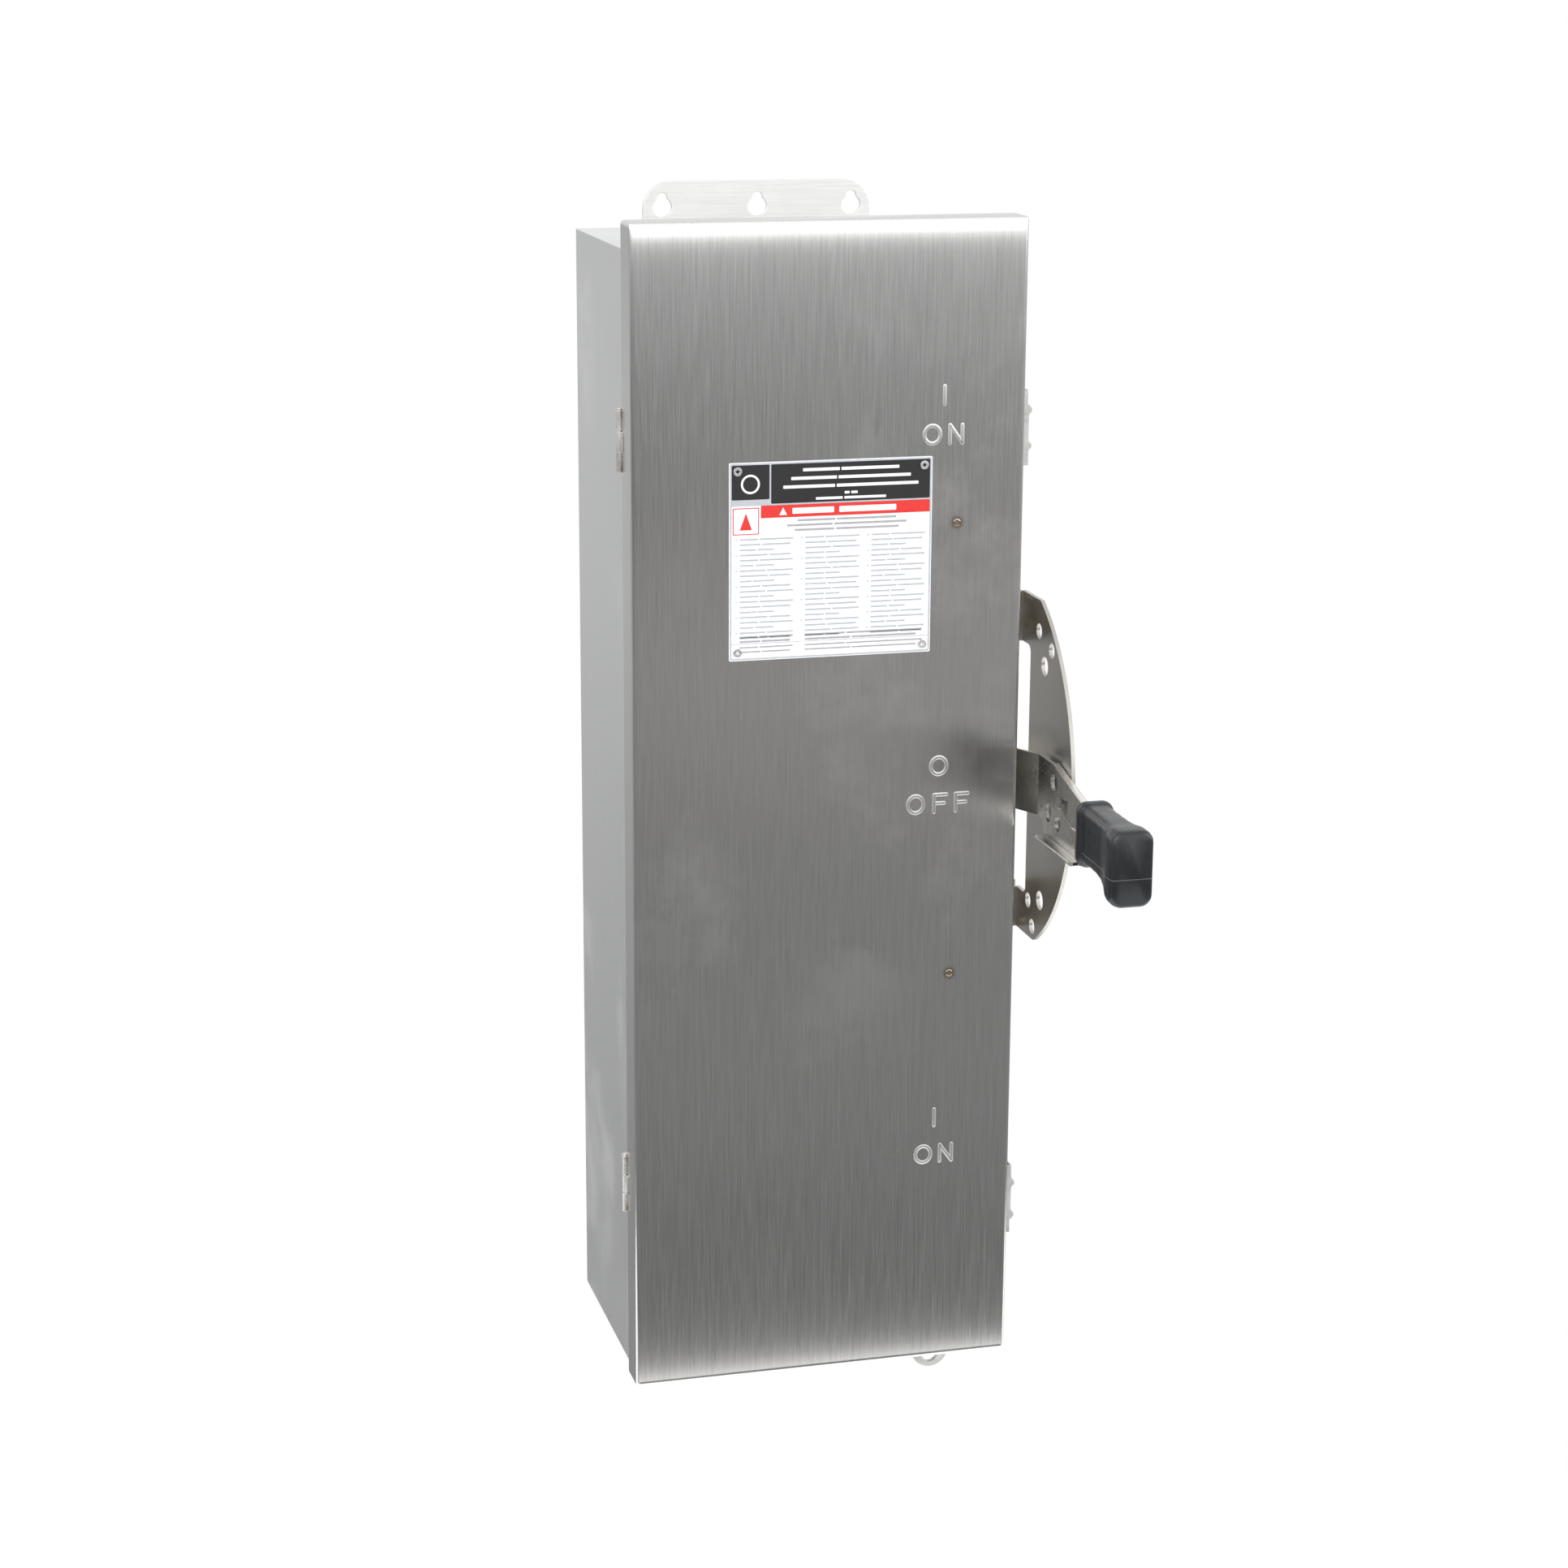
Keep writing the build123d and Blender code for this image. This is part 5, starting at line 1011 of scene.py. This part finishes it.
# ---- CAD nodes shown with rolled edges, and how far each edge is rolled in millimetres ----
SOFTENED = {
    "enclosure_box": 0.7, "box_rim": 0.3, "upper_mounting_foot": 0.6, "lower_mounting_foot": 0.6,
    "lock_plate_brackets": 0.5, "hasp_ear": 0.4, "door_hasp_ear": 0.4,
    "upper_latch_clip": 0.4, "lower_latch_clip": 0.4, "latch_brackets": 0.3, "hinge_box_leaves": 0.25,
    "hinge_door_leaves": 0.25, "hinge_pins": 0.3, "handle_nut": 0.4, "shaft_bushing": 0.4,
    "label_eyelets": 0.35,
    "mounting_panel": 0.3, "mechanism_bracket": 0.4, "drive_crank": 0.3, "interlock_cam": 0.3,
    "upper_link": 0.3, "lower_link": 0.3, "upper_switch_base": 0.8, "lower_switch_base": 0.8,
    "load_base": 0.6,
    "line_lugs": 0.5, "load_lugs": 0.5, "upper_crossbar": 0.4, "lower_crossbar": 0.4, "phase_barriers": 0.3,
    "arc_suppressors": 0.4, "rotor_bearings": 0.3, "ground_bar": 0.4, "fuse_clips": 0.2, "blade_jaws": 0.25,
    "blade_posts": 0.25, "load_busbars": 0.3, "upper_rotor_arms": 0.3, "lower_rotor_arms": 0.3,
    "upper_blades": 0.3, "lower_blades": 0.3, "bushing_nut": 0.4, "detent_cam": 0.3,
}


# ---- camera, floor and light ----
CAMERA_PLACE = (-0.6586, -2.5619, 0.6581)
CAMERA_YAW = 14.934
CAMERA_PITCH = 14.464
CAMERA_ROLL = 0.278
SENSOR_MM = 36
LENS_MM = 76.68
FLOOR_DROP = 0.45
FLOOR_HALF = 1.6
FLOOR_FRONT = -0.9
FLOOR_BACK = 0.35


def add_camera():
    yaw, pitch, roll = radians(CAMERA_YAW), radians(CAMERA_PITCH), radians(CAMERA_ROLL)
    ahead = Vector((sin(yaw) * cos(pitch), cos(yaw) * cos(pitch), -sin(pitch)))
    right = Vector((cos(yaw), -sin(yaw), 0))
    up = right.cross(ahead)
    side = cos(roll) * right + sin(roll) * up
    top = -sin(roll) * right + cos(roll) * up
    data = bpy.data.cameras.new("camera")
    data.sensor_width = SENSOR_MM
    data.lens = LENS_MM
    camera = bpy.data.objects.new("camera", data)
    turn = Matrix((side, top, -ahead)).transposed().to_4x4()
    camera.matrix_world = Matrix.Translation(CAMERA_PLACE) @ turn
    bpy.context.scene.collection.objects.link(camera)
    bpy.context.scene.camera = camera


def add_floor():
    """A plain white floor below the hanging enclosure, lit evenly enough to melt into the backdrop."""
    height = CAD_BOX[0][2] - FLOOR_DROP
    bm = bmesh.new()
    corners = (
        (-FLOOR_HALF, FLOOR_FRONT), (FLOOR_HALF, FLOOR_FRONT),
        (FLOOR_HALF, FLOOR_BACK), (-FLOOR_HALF, FLOOR_BACK),
    )
    bm.faces.new([bm.verts.new((x, y, height)) for x, y in corners])
    mesh = bpy.data.meshes.new("floor")
    bm.to_mesh(mesh)
    bm.free()
    floor = bpy.data.objects.new("floor", mesh)
    bpy.context.scene.collection.objects.link(floor)
    nodes = Nodes(bpy.data.materials.new("floor_paint"))
    grain = nodes.noise(nodes.place(), 3.0)
    nodes.set(
        Base_Color=nodes.ramp(grain, ((0.3, 0.93), (0.7, 0.96))), Roughness=0.9,
        Emission_Color=(1.0, 1.0, 1.0), Emission_Strength=0.5,
    )
    mesh.materials.append(nodes.owner)


WORLD_STRENGTH = 1.6
HEIGHT_LIMIT = 0.5
# Parts of the direction along X and Y over which one table gives way to the next.
LEFT_TO_RIGHT = (0.20, 0.32)
FRONT_TO_BACK = (-0.5, 0.1)
# Studio brightness by height: (vertical part of the direction, brightness, warmth).
FRONT_LEFT = (
    (-0.50, 1.30, 0.02), (-0.470, 0.80, 0.02), (-0.448, 0.30, 0.02), (-0.400, 0.13, 0.01),
    (-0.373, 0.12, 0.0),
    (-0.362, 0.29, 0.01), (-0.33, 0.29, 0.0), (-0.248, 0.26, 0.0), (-0.238, 0.38, 0.05), (-0.195, 0.33, 0.05),
    (-0.175, 0.19, 0.0), (-0.14, 0.20, 0.0), (-0.11, 0.33, 0.0), (-0.080, 0.48, 0.0), (-0.050, 0.62, 0.0),
    (-0.010, 2.20, 0.0), (0.50, 1.50, 0.0),
)
FRONT_RIGHT = (
    (-0.50, 1.60, 0.0), (-0.468, 1.00, 0.0), (-0.445, 0.32, 0.0), (-0.400, 0.16, 0.0), (-0.373, 0.14, 0.0),
    (-0.362, 0.30, 0.0), (-0.33, 0.30, 0.0), (-0.258, 0.28, 0.0), (-0.246, 0.46, 0.03), (-0.195, 0.46, 0.03),
    (-0.175, 0.40, 0.0), (-0.14, 0.40, 0.0), (-0.11, 0.50, 0.0), (-0.080, 0.62, 0.0), (-0.050, 0.90, 0.0),
    (-0.010, 2.40, 0.0), (0.50, 1.50, 0.0),
)
BACK = (
    (-0.50, 0.30, 0.0), (-0.40, 0.32, 0.0), (-0.31, 0.42, 0.0), (-0.25, 0.52, 0.0), (-0.19, 0.64, 0.0),
    (-0.13, 0.66, 0.0), (-0.09, 0.58, 0.0), (0.05, 0.95, 0.0), (0.50, 1.10, 0.0),
)


def surround_shade(nodes, height, table):
    """One table of the studio's brightness as a ramp over height; warmth moves red up and blue down."""
    return nodes.ramp(height, [
        (z + HEIGHT_LIMIT, tuple(shade * (1 + warmth * k) / WORLD_STRENGTH for k in (1, 0, -1)))
        for z, shade, warmth in table
    ])


def add_world():
    """Soft studio surround: graded grey bands before the door, paler behind it, white to the camera."""
    world = bpy.data.worlds.new("studio")
    bpy.context.scene.world = world
    nodes = Nodes(world)
    coord = nodes.add("TexCoord")
    split = nodes.add("SeparateXYZ")
    nodes.feed(split.inputs[0], coord.outputs["Generated"])
    height = nodes.span(split.outputs["Z"], -HEIGHT_LIMIT, HEIGHT_LIMIT)
    left, right, back = (surround_shade(nodes, height, table) for table in (FRONT_LEFT, FRONT_RIGHT, BACK))
    front = nodes.mix(nodes.span(split.outputs["X"], *LEFT_TO_RIGHT), left, right)
    behind = nodes.span(split.outputs["Y"], *FRONT_TO_BACK, shape="SMOOTHSTEP")
    surround = nodes.mix(behind, front, back)
    path = nodes.add("LightPath")
    white = (1 / WORLD_STRENGTH,) * 3
    seen = nodes.mix(path.outputs["Is Camera Ray"], surround, white)
    background = nodes.tree.nodes["Background"]
    background.inputs["Strength"].default_value = WORLD_STRENGTH
    nodes.feed(background.inputs["Color"], seen)


LIGHT_TARGET = Vector((0, -0.1, 0))
# Name, place, width and height in metres, power in watts.
SOFTBOXES = (
    ("key_softbox", (-2.6, -2.2, 2.6), (2.2, 2.2), 60),
    ("fill_softbox", (2.8, -1.6, 1.2), (1.6, 2.2), 25),
)


def add_light(name, place, size, power):
    data = bpy.data.lights.new(name, "AREA")
    data.shape = "RECTANGLE"
    data.size, data.size_y = size
    data.energy = power
    light = bpy.data.objects.new(name, data)
    light.location = place
    light.rotation_euler = (LIGHT_TARGET - Vector(place)).to_track_quat("-Z", "Y").to_euler()
    bpy.context.scene.collection.objects.link(light)


add_camera()
add_floor()
add_world()
for softbox in SOFTBOXES:
    add_light(*softbox)
bpy.context.scene.view_settings.view_transform = "Standard"

add_door()
add_marks()
add_weld_dimples()
add_label_print()
add_grip()
add_arm_lips()
add_welds()
for node_name, edge in SOFTENED.items():
    softened(node_name, edge * MM)
